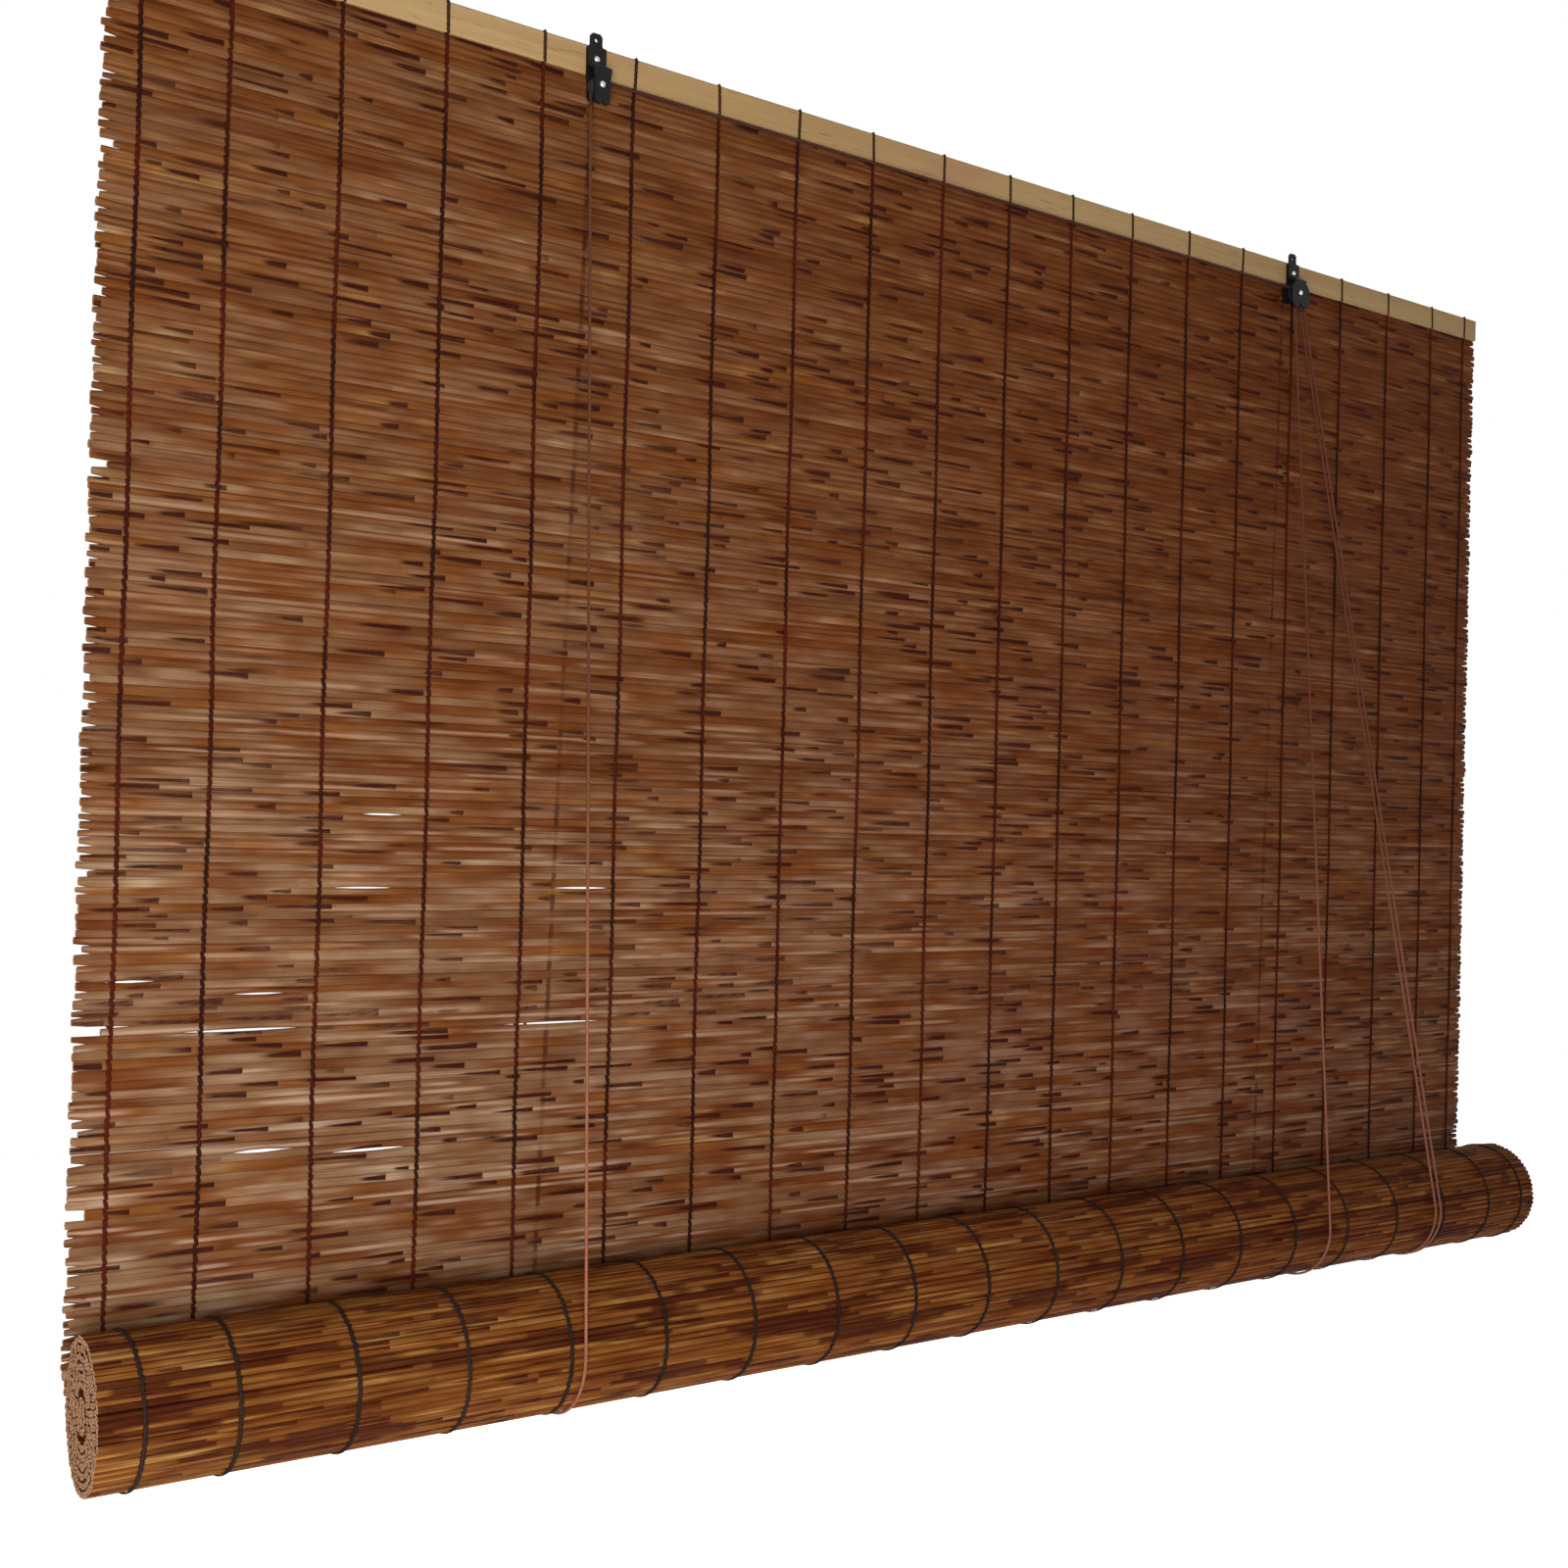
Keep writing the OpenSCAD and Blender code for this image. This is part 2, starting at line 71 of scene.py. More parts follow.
# Places that the frame gives, in metres
BATTEN_LOW, BATTEN_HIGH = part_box("head_batten")
MAT_LOW, MAT_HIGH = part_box("reed_mat")
MAT_Y = (MAT_LOW.y + MAT_HIGH.y) / 2
MAT_R = (MAT_HIGH.y - MAT_LOW.y) / 2
ROLL_LOW, ROLL_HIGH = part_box("rolled_mat")
JOINTS = {joint["name"]: joint for joint in frame["joints"]}
ROLL_Y, ROLL_Z = JOINTS["roll_turn"]["pos_m"][1:]
ROLL_R = ROLL_Y - ROLL_LOW.y
BATTEN_FOOT = BATTEN_LOW.z
LIFT = max(JOINTS["roll_lift"]["range_m"])

# The reed blank, of unit length and radius: rings to bend it at, and its hollow ends
REED_SIDES = 7
REED_RINGS = (0.007, 0.2, 0.4, 0.6, 0.8, 0.993)
SPRUNG_RINGS = (0.007, *(k / 128 for k in range(1, 128)), 0.993)
REED_WALL = 0.6
REED_LIP = 0.04
REED_BORE = 0.004
STUB_BORE = 0.3
BORE_R = 0.62
END_SLACK = 1e-5

# Edges up to these angles are shaded smooth: on most pieces, and on stitches
SMOOTH_DEG = 50
ROUND_DEG = 180

# Reeds: spans of their waves' start, rate and size; how far they taper, swell, droop and give way to a slit
REED_GROOVE = 0.0011
GROOVE_SLACK = 2e-6
WAVE_SPANS = ((0, 7), (2.5, 6.5), (0.2, 1.0))
WAVE_Y, WAVE_Z = 0.00025, 0.0002
TAPER = 0.07
SWELL, SWELL_RATE = 0.04, 9
TIP_SHARE = 0.005
TIP_DROOP = 0.0022
DENT_PUSH, DENT_THIN = 0.0007, 0.16

# Reeds of the mat: uneven ends, and size as shares of a row's height and of the mat's depth
RAGGED = 0.003
SHORT_CHANCE, SHORT_BY = 0.1, 0.005
REED_HEIGHTS = (0.57, 0.62)
REED_DEPTHS = (0.88, 1.0)
MAT_TIPS = (0.6, 0.95)
NUMBER_SPREAD = 0.5
SLIT_SLACK = 1e-6

# Roll: its turns, with angles in degrees, and its reeds' sizes as shares of their spacing and the mat's depth
TURN_PITCH = 0.0058
TURNS = 6
DIP_START, DIP_RUN = 312, 40
OUTER_TURN = 358
WHOLE_TURNS = 700
LAST_GAP = 4
ROLL_REEDS = 64
FIRST_ROLL_REED = 400
ROLL_RAGGED = 0.0008
ROLL_SLANT = 0.004
STUB = 0.03
INNER_STEPS = (0.85, 1.15)
INNER_SUNK = (-0.0003, 0.0007)
INNER_WIDTHS, OUTER_WIDTHS = (0.8, 1.05), (1.02, 1.1)
INNER_DEPTHS, OUTER_DEPTHS = (0.85, 1.1), (0.98, 1.06)
CORE_RINGS = ((0.0, 1), (0.0052, 6), (0.0104, 12))
CORE_TWIST = 300

# Twines
TWINE_W = 0.0042
TWINE_T = 0.0014
TWINE_FLAT = 0.0006

# Stitches: half lengths in metres or shares of a row, half widths and depths as shares of the twine's, tilts
# in radians, and how far they stand off what they lie on
STITCH_SEGMENTS, STITCH_RINGS = 6, 4
STITCH_OUT = 0.42
STITCH_DEEP = 0.55
STITCH_TILT = 0.28
MAT_STITCH_LONG = 0.64
MAT_STITCH_WIDE = (0.38, 0.48)
MAT_SWAY, SWAY_RATE, SWAY_START = 0.0005, 23, 6
MAT_JITTER = 0.0002
NIP = 0.46  # where the front twines go behind the roll, as a share of its radius above its axis
ROLL_STITCHES = (1, ROLL_REEDS - 3)
ROLL_STITCH_LONG = 0.0033
ROLL_STITCH_WIDE = (0.42, 0.5)
ROLL_JITTER = 0.0003
WRAP_OUT = 0.4
WRAP_WIDE = 0.42
WRAP_TILT = 0.12
WRAP_LEAN = 0.0012
FACE_WRAPS, FACE_LONG, FACE_DEEP = 6, 0.0034, 0.7
TOP_WRAPS, TOP_LONG, TOP_DEEP = 3, 0.0026, 0.8

# Cords, from the part's source
CORD_R = 0.00125
CORD_SIDES = 10
CORD_STEP = 0.006
CORD_STRANDS = 3
CORD_LAY = 0.009
WHEELS = [JOINTS[f"{side}_wheel_spin"]["pos_m"] for side in ("left", "right")]
WHEEL_X = (WHEELS[0][0], WHEELS[1][0])
WHEEL_Z = WHEELS[0][2]
GROOVE_Y = (-0.0047, -0.0093)
WRAP_R = 0.006
SLING_R = 0.05365
SLING_END = 186
SLING_STEPS = 24
ARC_STEP = 10
SLING_RISE = ROLL_R + 0.008
LEFT_CORD_X = MAT_LOW.x + 0.351
RIGHT_CORD_X = MAT_LOW.x + 1.229
PULL_X = (MAT_LOW.x + 1.41, MAT_LOW.x + 1.419)
RING_Y = 0.0146
KNOT_FOOT = -0.01625
TAIL_Y = 0.01065
TAIL_KNOT = (RIGHT_CORD_X, 0.0126, -0.93)
LEAVE_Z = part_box("left_front_plate")[0].z - 0.002
TAIL_RISE = (0.0, 0.005)
# Bends of a pull strand's tail: left of the strand and above the roll's axis, then from the hitch's middle
TAIL_BENDS = ((0.002, 0.016), (0.012, 0.028))
TAIL_END = (0.0049, -0.002)
HITCH_TURNS, HITCH_STEPS = 3, 72
HITCH_R, HITCH_HEIGHT = 0.0032, 0.0066
KNOT_STEPS = 61
KNOT_R, KNOT_RISE = 0.00085, 0.0014
# Cords behind the mat, painted onto the reeds as faint lines of shade: place across at height 0, and lean
CORDS_BEHIND = ((MAT_LOW.x + 0.386, 0.025), (MAT_LOW.x + 1.246, 0.016))

# Camera, as fitted to the photograph; angles in degrees
CAMERA_YAW, CAMERA_PITCH, CAMERA_ROLL = 36.23, 0.65, 1.47
SENSOR, LENS = 36, 42.55
SHIFT_X, SHIFT_Y = 0.0004, 0.0151
CLIP_START = 0.05
CAMERA_AT = (MAT_LOW.x - 0.358, -1.2968, -0.63)

# Lamps: name, place, target, size and watts
LAMPS = (("key", (-1.25, -1.45, -0.85), (-0.5, 0, -0.65), 1.0, 32),
         ("fill", (1.8, -2.4, 0.3), (0, 0, -0.6), 2.0, 1.5),
         ("rear", (0.5, 3.0, 0.5), (0, 0, -0.6), 2.5, 60))
AMBIENT = 0.1
FLOOR_SIZE, FLOOR_Z = 12, -1.95
FLOOR_GLOW = 0.68
GLOW_FROM, GLOW_TO = 2.3, 3.6


def linear(red, green, blue):
    """A colour as it looks on a screen, from 0 to 255, as the shader's own linear values."""
    def one(v):
        v /= 255
        return v / 12.92 if v <= 0.04045 else ((v + 0.055) / 1.055) ** 2.4
    return (one(red), one(green), one(blue), 1.0)


class Wire:
    """A shader socket: arithmetic on it adds Math nodes, and node() adds any other node."""

    def __init__(self, tree, socket=None):
        self.tree = tree
        self.socket = socket

    def node(self, kind, settings=None, inputs=None, output=0):
        made = self.tree.nodes.new(kind)
        for key, value in (settings or {}).items():
            if key == "stops":
                while len(made.color_ramp.elements) < len(value):
                    made.color_ramp.elements.new(0.5)
                for element, (place, colour) in zip(made.color_ramp.elements, value):
                    element.position = place
                    element.color = colour
            else:
                setattr(made, key, value)
        for key, value in (inputs or {}).items():
            self.plug(made.inputs[key], value)
        return Wire(self.tree, made.outputs[output])

    def plug(self, socket, value):
        if isinstance(value, Wire):
            self.tree.links.new(value.socket, socket)
        else:
            socket.default_value = value

    def math(self, operation, first, second=None, clamp=False):
        inputs = {0: first} if second is None else {0: first, 1: second}
        return self.node("ShaderNodeMath", {"operation": operation, "use_clamp": clamp}, inputs)

    def __add__(self, other):
        return self.math("ADD", self, other)

    def __radd__(self, other):
        return self.math("ADD", other, self)

    def __sub__(self, other):
        return self.math("SUBTRACT", self, other)

    def __rsub__(self, other):
        return self.math("SUBTRACT", other, self)

    def __mul__(self, other):
        return self.math("MULTIPLY", self, other)

    def __rmul__(self, other):
        return self.math("MULTIPLY", other, self)

    def __truediv__(self, other):
        return self.math("DIVIDE", self, other)

    def __abs__(self):
        return self.math("ABSOLUTE", self)

    def sine(self):
        return self.math("SINE", self)

    def ramp(self, low, high):
        """0 below low, 1 above high, smooth between."""
        return self.node("ShaderNodeMapRange", {"interpolation_type": "SMOOTHSTEP"},
                         {"Value": self, "From Min": low, "From Max": high})

    def mix(self, first, second):
        """A colour that goes from first to second as this value goes from 0 to 1."""
        return self.node("ShaderNodeMix", {"data_type": "RGBA"},
                         {0: self, 6: first, 7: second}, output=2)

    def noise(self, vector, scale, detail=2.0, roughness=0.5):
        return self.node("ShaderNodeTexNoise", None,
                         {"Vector": vector, "Scale": scale, "Detail": detail, "Roughness": roughness})

    def stretched(self, x, y, z):
        """Object coordinates stretched by a Mapping node."""
        place = self.node("ShaderNodeTexCoord", output=3)
        return self.node("ShaderNodeMapping", None, {"Vector": place, "Scale": (x, y, z)})

    def attribute(self, name):
        return self.node("ShaderNodeAttribute", {"attribute_name": name}, output=2)

    def dice(self, number, seed):
        """A random value from 0 to 1 for each value of number."""
        return self.node("ShaderNodeTexWhiteNoise", {"noise_dimensions": "1D"}, {"W": number + seed})


def finish(name, colour, roughness, height=None, depth=0.001, metallic=0.0, specular=0.5):
    """A material whose colour, roughness and bump come from builders that take the tree's Wire."""
    material = bpy.data.materials.new(name)
    material.use_nodes = True
    tree = material.node_tree
    shader = tree.nodes["Principled BSDF"]
    start = Wire(tree)
    start.plug(shader.inputs["Base Color"], colour(start))
    start.plug(shader.inputs["Roughness"], roughness(start))
    shader.inputs["Metallic"].default_value = metallic
    shader.inputs["Specular IOR Level"].default_value = specular
    if height:
        bump = start.node("ShaderNodeBump", None,
                          {"Height": height(start), "Distance": depth, "Strength": 1.0})
        start.plug(shader.inputs["Normal"], bump)
    return material


def reed_finish(name, ochre, pink, golden_highlight, hazy_highlight, dark, mark_run, patches, cords_behind=()):
    """Carbonised reed: even tones and dark sheath marks that end sharply at a joint, with painted light and
    shade: a paler, pinker haze lower down, painted highlight streaks, and painted shade between the reeds and
    where cords pass behind.

    mark_run is how long the marks are, patches how dark the dark stretches are.
    """
    def band(w, reed, along, rate, seed, spread=3.7):
        """A value that changes along the reed; a small spread makes neighbours alike."""
        where = w.node("ShaderNodeCombineXYZ", None,
                       {"X": along * rate, "Y": reed * spread + seed, "Z": seed})
        return w.noise(where, 1.0, 2.0, 0.55)

    def fibres(w):
        return w.noise(w.stretched(16, 800, 800), 1.0, 3.0, 0.65)

    def marks(w, reed, along, across):
        """Sheath marks: one before each joint of a reed, if it shows, narrower the further from the joint."""
        # Metres between joints, and which stretch between joints the point is in
        gap = 0.06 + 0.1 * w.dice(reed, 3.1)
        place = along / gap + 5.0 * w.dice(reed, 9.7) + 20.0
        cell = w.math("FLOOR", place)
        key = reed * 17.3 + cell * 3.7
        # How far the point is from the next joint, and from the mark's middle line
        behind = (1.0 - (place - cell)) * gap
        fade = w.math("SUBTRACT", 1.0, behind / (mark_run * (0.25 + w.dice(key, 1.9))), clamp=True)
        lane = abs(across - (w.dice(key, 6.2) - 0.5) + (fibres(w) - 0.5) * 1.2) / (0.35 + 0.65 * fade)
        # Marks come in crowds
        crowd = band(w, reed, along, 5.0, 60.0, 0.25)
        shown = (w.dice(key, 11.4) + (crowd - 0.5) * 2.4).ramp(0.35, 0.5)
        return fade.ramp(0.0, 0.4) * (1.0 - lane.ramp(0.35, 0.75)) * shown

    def shadowed(w, reed, along, height):
        """Painted shade: faint dark lines where the cords behind pass, stronger on some reeds than on others.
        """
        line = 0.0
        for top, lean in cords_behind:
            near = 1.0 - abs(along - (height * lean + top)).ramp(0.001, 0.003)
            line = w.math("MAXIMUM", near * (0.15 + 0.6 * w.dice(reed, 7.3).ramp(0.2, 0.8)), line)
        return line

    def inputs(w):
        reed, along, across = w.attribute("reed"), w.attribute("along"), w.attribute("across")
        return reed, along, across, marks(w, reed, along, across)

    def colour(w):
        reed, along, across, mark = inputs(w)
        place = w.node("ShaderNodeTexCoord", output=3)
        height = w.node("ShaderNodeSeparateXYZ", None, {"Vector": place}, output=2)
        # Painted light: lighter and greener to the left, and a paler, pinker haze lower down and to the left
        painted_light_left = (-0.2 - along).ramp(-0.6, 0.6)
        painted_haze = (-0.1 - height).ramp(0.0, 0.9) * 0.7 + painted_light_left * 0.3
        tone = (band(w, reed, along, 15.0, 0.0) * 1.3 + w.dice(reed, 0.4) * 0.35
                + fibres(w) * 1.0 - 0.82)
        warm = w.node("ShaderNodeValToRGB", {"stops": ochre}, {"Fac": tone})
        cool = w.node("ShaderNodeValToRGB", {"stops": pink}, {"Fac": tone})
        # Pinkish stretches of the reed's own tone, much stronger in the painted haze
        pink_tone_and_haze = band(w, reed, along, 8.0, 140.0).ramp(0.38, 0.62) * (0.08 + 0.95 * painted_haze)
        base = pink_tone_and_haze.mix(warm, cool)
        # Painted highlight: pale streaks along one line of some reeds, golden above and paler in the painted
        # haze lower down
        highlight_lane = 1.0 - abs(across - w.dice(reed, 8.8) + 0.5).ramp(0.15, 0.5)
        pale = band(w, reed, along, 9.0, 40.0).ramp(0.5, 0.66) * highlight_lane * (0.2 + 0.5 * painted_haze)
        # Painted light: a greener tint to the left
        base_in_painted_light = w.node("ShaderNodeMix", {"data_type": "RGBA", "blend_type": "MULTIPLY"},
                       {0: painted_light_left, 6: base, 7: (0.98, 1.14, 1.02, 1.0)}, output=2)
        stagger = along + w.dice(reed, 5.5) * 0.05
        patch = band(w, reed, stagger, 7.0, 80.0, 0.3).ramp(0.55, 0.575) * patches
        # Painted shade between neighbouring reeds: darker towards each reed's upper and lower edge, more on
        # some stretches
        depth = 0.15 + 0.5 * band(w, reed, along, 9.0, 200.0).ramp(0.42, 0.62)
        painted_seam_shade = abs(across).ramp(0.6, 1.0) * depth
        # The reed's own dark patches, with the painted shade between the reeds and of the cords behind
        dark_patch_and_shade = w.math("MAXIMUM", w.math("MAXIMUM", patch, painted_seam_shade), shadowed(w, reed, along, height))
        # The reed's tone with its painted highlight streaks
        skin = pale.mix(base_in_painted_light, painted_haze.mix(golden_highlight, hazy_highlight))
        return w.math("MAXIMUM", mark, dark_patch_and_shade).mix(skin, dark)

    def roughness(w):
        return 0.5 + 0.3 * w.noise(w.stretched(20, 900, 900), 1.0)

    def height(w):
        return fibres(w) * 0.7 + inputs(w)[3] * 0.5

    return finish(name, colour, roughness, height, depth=0.0006, specular=0.08)


def plain_wood(name, pale, deep):
    """Planed light wood with grain along the batten and faint patches."""
    def grain(w):
        wander = w.noise(w.stretched(2.0, 60, 60), 1.0, 2.0)
        fine = w.noise(w.stretched(7, 900, 700), 1.0, 3.0, 0.6)
        return wander * 0.75 + fine * 0.45 - 0.1

    def colour(w):
        base = grain(w).ramp(0.25, 0.85).mix(pale, deep)
        patch = w.noise(w.stretched(6, 30, 30), 1.0, 2.0).ramp(0.56, 0.72) * 0.5
        stain = patch.mix(base, linear(178, 128, 96))
        fleck = w.noise(w.stretched(40, 700, 400), 1.0, 1.0).ramp(0.69, 0.75) * 0.45
        return fleck.mix(stain, linear(120, 84, 52))

    return finish(name, colour, lambda w: 0.5 + 0.2 * grain(w), grain, depth=0.0005, specular=0.35)


def twine_finish(name, dark, brown, fibre_highlight):
    """Twisted twine: dark and brown stretches, with painted highlights on the fibres."""
    def fibre(w):
        return w.noise(w.stretched(1500, 1500, 500), 1.0, 3.0, 0.65)

    def colour(w):
        fade = w.noise(w.stretched(8, 8, 11), 1.0, 2.0).ramp(0.38, 0.66)
        # Painted highlight on the fibres
        return (fibre(w).ramp(0.35, 0.75) * 0.25).mix(fade.mix(dark, brown), fibre_highlight)

    return finish(name, colour, lambda w: 0.75 + 0.15 * fibre(w), fibre, depth=0.0005, specular=0.08)


def cord_finish(name, pale, deep, painted_shade_tone):
    """Twisted cord: three strands that wind along the UV map, in painted shade higher up, towards the wheels.
    """
    def strands(w):
        uv = w.node("ShaderNodeUVMap", {"uv_map": "lay"})
        split = {"Vector": uv}
        round_it = w.node("ShaderNodeSeparateXYZ", None, split)
        length = w.node("ShaderNodeSeparateXYZ", None, split, output=1)
        turn = 2 * math.pi * CORD_STRANDS
        return (round_it * turn + length * (turn / CORD_LAY)).sine() * 0.5 + 0.5

    def colour(w):
        worn = w.noise(w.stretched(300, 300, 60), 1.0, 3.0)
        place = w.node("ShaderNodeTexCoord", output=3)
        height = w.node("ShaderNodeSeparateXYZ", None, {"Vector": place}, output=2)
        lit_tone = (strands(w) * 0.55 + worn * 0.6 - 0.1).mix(deep, pale)
        # Painted shade: the cord darker above, near the mat and the batten
        return (height.ramp(-0.8, -0.5) * 0.9).mix(lit_tone, painted_shade_tone)

    return finish(name, colour, lambda w: 0.75 + 0.1 * strands(w), strands, depth=0.0004, specular=0.25)


def black_steel(name):
    """Black paint with faintly worn spots."""
    def wear(w):
        return w.noise(w.stretched(220, 220, 220), 1.0, 4.0, 0.6)

    def colour(w):
        return (wear(w).ramp(0.6, 0.8) * 0.7).mix(linear(12, 11, 13), linear(30, 27, 26))

    return finish(name, colour, lambda w: 0.45 + 0.25 * wear(w), wear, depth=0.0003, specular=0.2)


def zinc(name):
    """Bright zinc, a little scuffed."""
    def scuff(w):
        return w.noise(w.stretched(500, 500, 500), 1.0, 3.0)

    def colour(w):
        return scuff(w).ramp(0.3, 0.8).mix(linear(214, 211, 204), linear(156, 152, 144))

    return finish(name, colour, lambda w: 0.2 + 0.25 * scuff(w), scuff, depth=0.0001, metallic=1.0)


def nylon(name):
    """Black nylon with a fine grain."""
    def grain(w):
        return w.noise(w.stretched(900, 900, 900), 1.0, 2.0)

    def colour(w):
        return grain(w).mix(linear(34, 33, 32), linear(52, 50, 48))

    return finish(name, colour, lambda w: 0.45 + 0.15 * grain(w), grain, depth=0.0002)


def cut_finish(name, pale, deep):
    """Cut ends of reeds with fibre specks: the pale rims, and the bores, dark as painted shade in the
    hollows.
    """
    def speck(w):
        return w.noise(w.stretched(900, 900, 900), 1.0, 3.0)

    def colour(w):
        return speck(w).ramp(0.3, 0.75).mix(deep, pale)

    return finish(name, colour, lambda w: 0.75 + 0.1 * speck(w), speck, depth=0.0004, specular=0.3)


def tones(*colours):
    """The stops of a reed's colour ramp, from dark to pale."""
    return [(place, linear(*colour)) for place, colour in zip((0.0, 0.45, 0.75, 1.0), colours)]


# The streak colours of each reed finish are painted highlights, paler in the painted haze lower down
mat_reed = reed_finish("mat_reed",
                       ochre=tones((82, 31, 5), (109, 54, 21), (127, 71, 34), (160, 108, 64)),
                       pink=tones((88, 45, 25), (130, 87, 63), (150, 110, 88), (180, 146, 126)),
                       golden_highlight=linear(160, 106, 58), hazy_highlight=linear(192, 156, 130), dark=linear(50, 13, 5),
                       mark_run=0.05, patches=0.0, cords_behind=CORDS_BEHIND)
roll_reed = reed_finish("roll_reed",
                        ochre=tones((82, 29, 3), (114, 58, 19), (138, 82, 36), (180, 130, 72)),
                        pink=tones((80, 30, 5), (112, 58, 22), (134, 80, 40), (168, 120, 72)),
                        golden_highlight=linear(168, 108, 46), hazy_highlight=linear(184, 128, 66), dark=linear(60, 15, 3),
                        mark_run=0.08, patches=0.85)
cut_reed = cut_finish("cut_reed", linear(236, 184, 144), linear(196, 136, 100))
# Reed bores: dark as painted shade in the hollows
reed_bore = cut_finish("reed_bore", linear(74, 40, 24), linear(36, 19, 12))
batten_wood = plain_wood("batten_wood", linear(198, 163, 113), linear(176, 138, 88))
mat_twine = twine_finish("mat_twine", linear(38, 15, 8), linear(84, 24, 10), linear(80, 42, 26))
wrap_twine = twine_finish("wrap_twine", linear(58, 38, 26), linear(78, 50, 32), linear(84, 60, 42))
roll_twine = twine_finish("roll_twine", linear(34, 25, 20), linear(50, 35, 27), linear(64, 48, 38))
# One cord in three copies: as lit on the left, a little darker on the right as painted shade, and darker
# still as painted shade under the batten, for the cords over the wheels
lift_cord = cord_finish("lift_cord", linear(176, 112, 84), linear(134, 76, 52), linear(94, 54, 30))
shaded_cord = cord_finish("shaded_cord", linear(166, 106, 84), linear(122, 70, 54), linear(108, 58, 38))
dim_cord = cord_finish("dim_cord", linear(136, 84, 66), linear(100, 54, 42), linear(62, 32, 22))
hanger_black = black_steel("hanger_black")
bright_zinc = zinc("bright_zinc")
wheel_nylon = nylon("wheel_nylon")


def edit_blank(primitive, name, **size):
    """Starts a blank from a primitive at the origin and leaves it in edit mode."""
    bpy.ops.object.select_all(action="DESELECT")
    primitive(**size)
    blank = bpy.context.object
    blank.name = name
    bpy.ops.object.transform_apply(location=True, rotation=True, scale=True)
    bpy.ops.object.mode_set(mode="EDIT")
    return blank


def select_faces(blank, wanted):
    """Selects a blank's wanted faces, in edit mode."""
    bpy.ops.mesh.select_all(action="DESELECT")
    bpy.ops.mesh.select_mode(type="FACE")
    bpy.ops.object.mode_set(mode="OBJECT")
    for face in blank.data.polygons:
        face.select = wanted(face)
    bpy.ops.object.mode_set(mode="EDIT")


def reed_blank(name, rings, bore):
    """A reed of unit length and radius along X, hollow at both ends, with rings to bend it at.

    Its faces are skin (0), cut ends (1) and bores (2).
    """
    blank = edit_blank(bpy.ops.mesh.primitive_cylinder_add, name, vertices=REED_SIDES, radius=1, depth=1,
                       rotation=(0, math.pi / 2, 0))
    for share in rings:
        bpy.ops.mesh.select_all(action="SELECT")
        bpy.ops.mesh.bisect(plane_co=(share - 0.5, 0, 0), plane_no=(1, 0, 0))
    select_faces(blank, lambda face: abs(face.normal.x) > 0.9)
    bpy.ops.mesh.inset(thickness=REED_WALL, use_individual=True)
    bpy.ops.mesh.inset(thickness=REED_LIP, depth=-bore, use_individual=True)
    bpy.ops.object.mode_set(mode="OBJECT")
    for face in blank.data.polygons:
        at_end = abs(face.center.x) > 0.5 - END_SLACK
        inside = math.hypot(face.center.y, face.center.z) < BORE_R
        face.material_index = 1 if at_end else 2 if inside else 0
    return blank


def stitch_blank():
    """One pass of a twine over a reed: a lump pinched at both ends."""
    blank = edit_blank(bpy.ops.mesh.primitive_uv_sphere_add, "stitch_blank", segments=STITCH_SEGMENTS,
                       ring_count=STITCH_RINGS, radius=1)
    bpy.ops.object.mode_set(mode="OBJECT")
    return blank


def copies(name, blank, shapes, materials, smooth_deg=SMOOTH_DEG):
    """One piece out of shaped copies of a blank; a shape gives a point's place and its run along the reed.

    The attributes reed, along and across tell the finish which reed a point is on and where.
    """
    points, faces, finishes, reed, along, across = [], [], [], [], [], []
    corners = [v.co.copy() for v in blank.data.vertices]
    skin = [(tuple(face.vertices), face.material_index) for face in blank.data.polygons]
    for number, shape in shapes:
        base = len(points)
        for corner in corners:
            place, run = shape(corner)
            points.append(place)
            along.append(run)
            reed.append(number)
            across.append(corner.z)
        for corner_ids, index in skin:
            faces.append([base + c for c in corner_ids])
            finishes.append(index)
    mesh = bpy.data.meshes.new(name)
    mesh.from_pydata(points, [], faces)
    mesh.polygons.foreach_set("material_index", finishes)
    for key, values in (("reed", reed), ("along", along), ("across", across)):
        mesh.attributes.new(key, "FLOAT", "POINT").data.foreach_set("value", values)
    return show(name, mesh, materials, smooth_deg)


def show(name, mesh, materials, smooth_deg=SMOOTH_DEG):
    """Puts a mesh into the scene as a smooth piece with its materials."""
    for material in materials:
        mesh.materials.append(material)
    mesh.update()
    piece = bpy.data.objects.new(name, mesh)
    bpy.context.scene.collection.objects.link(piece)
    bpy.ops.object.select_all(action="DESELECT")
    piece.select_set(True)
    bpy.context.view_layer.objects.active = piece
    bpy.ops.object.shade_smooth_by_angle(angle=math.radians(smooth_deg))
    return piece


def groove_heights():
    """Heights of the grooves between the reeds, from the mat's own solid, top first."""
    groove_y = MAT_LOW.y + REED_GROOVE
    found = {round(v.co.z, 5) for v in nodes["reed_mat"].data.vertices
             if abs(v.co.y - groove_y) < GROOVE_SLACK}
    return sorted(found | {round(BATTEN_FOOT, 5), round(ROLL_Z, 5)}, reverse=True)


def twine_places():
    """Middle of each twine across the blind, from the twines' own solid."""
    edges = sorted({round(v.co.x, 4) for v in nodes["mat_twines"].data.vertices})
    return [(a + b) / 2 for a, b in zip(edges[::2], edges[1::2])]


GROOVES = groove_heights()
TWINE_X = twine_places()

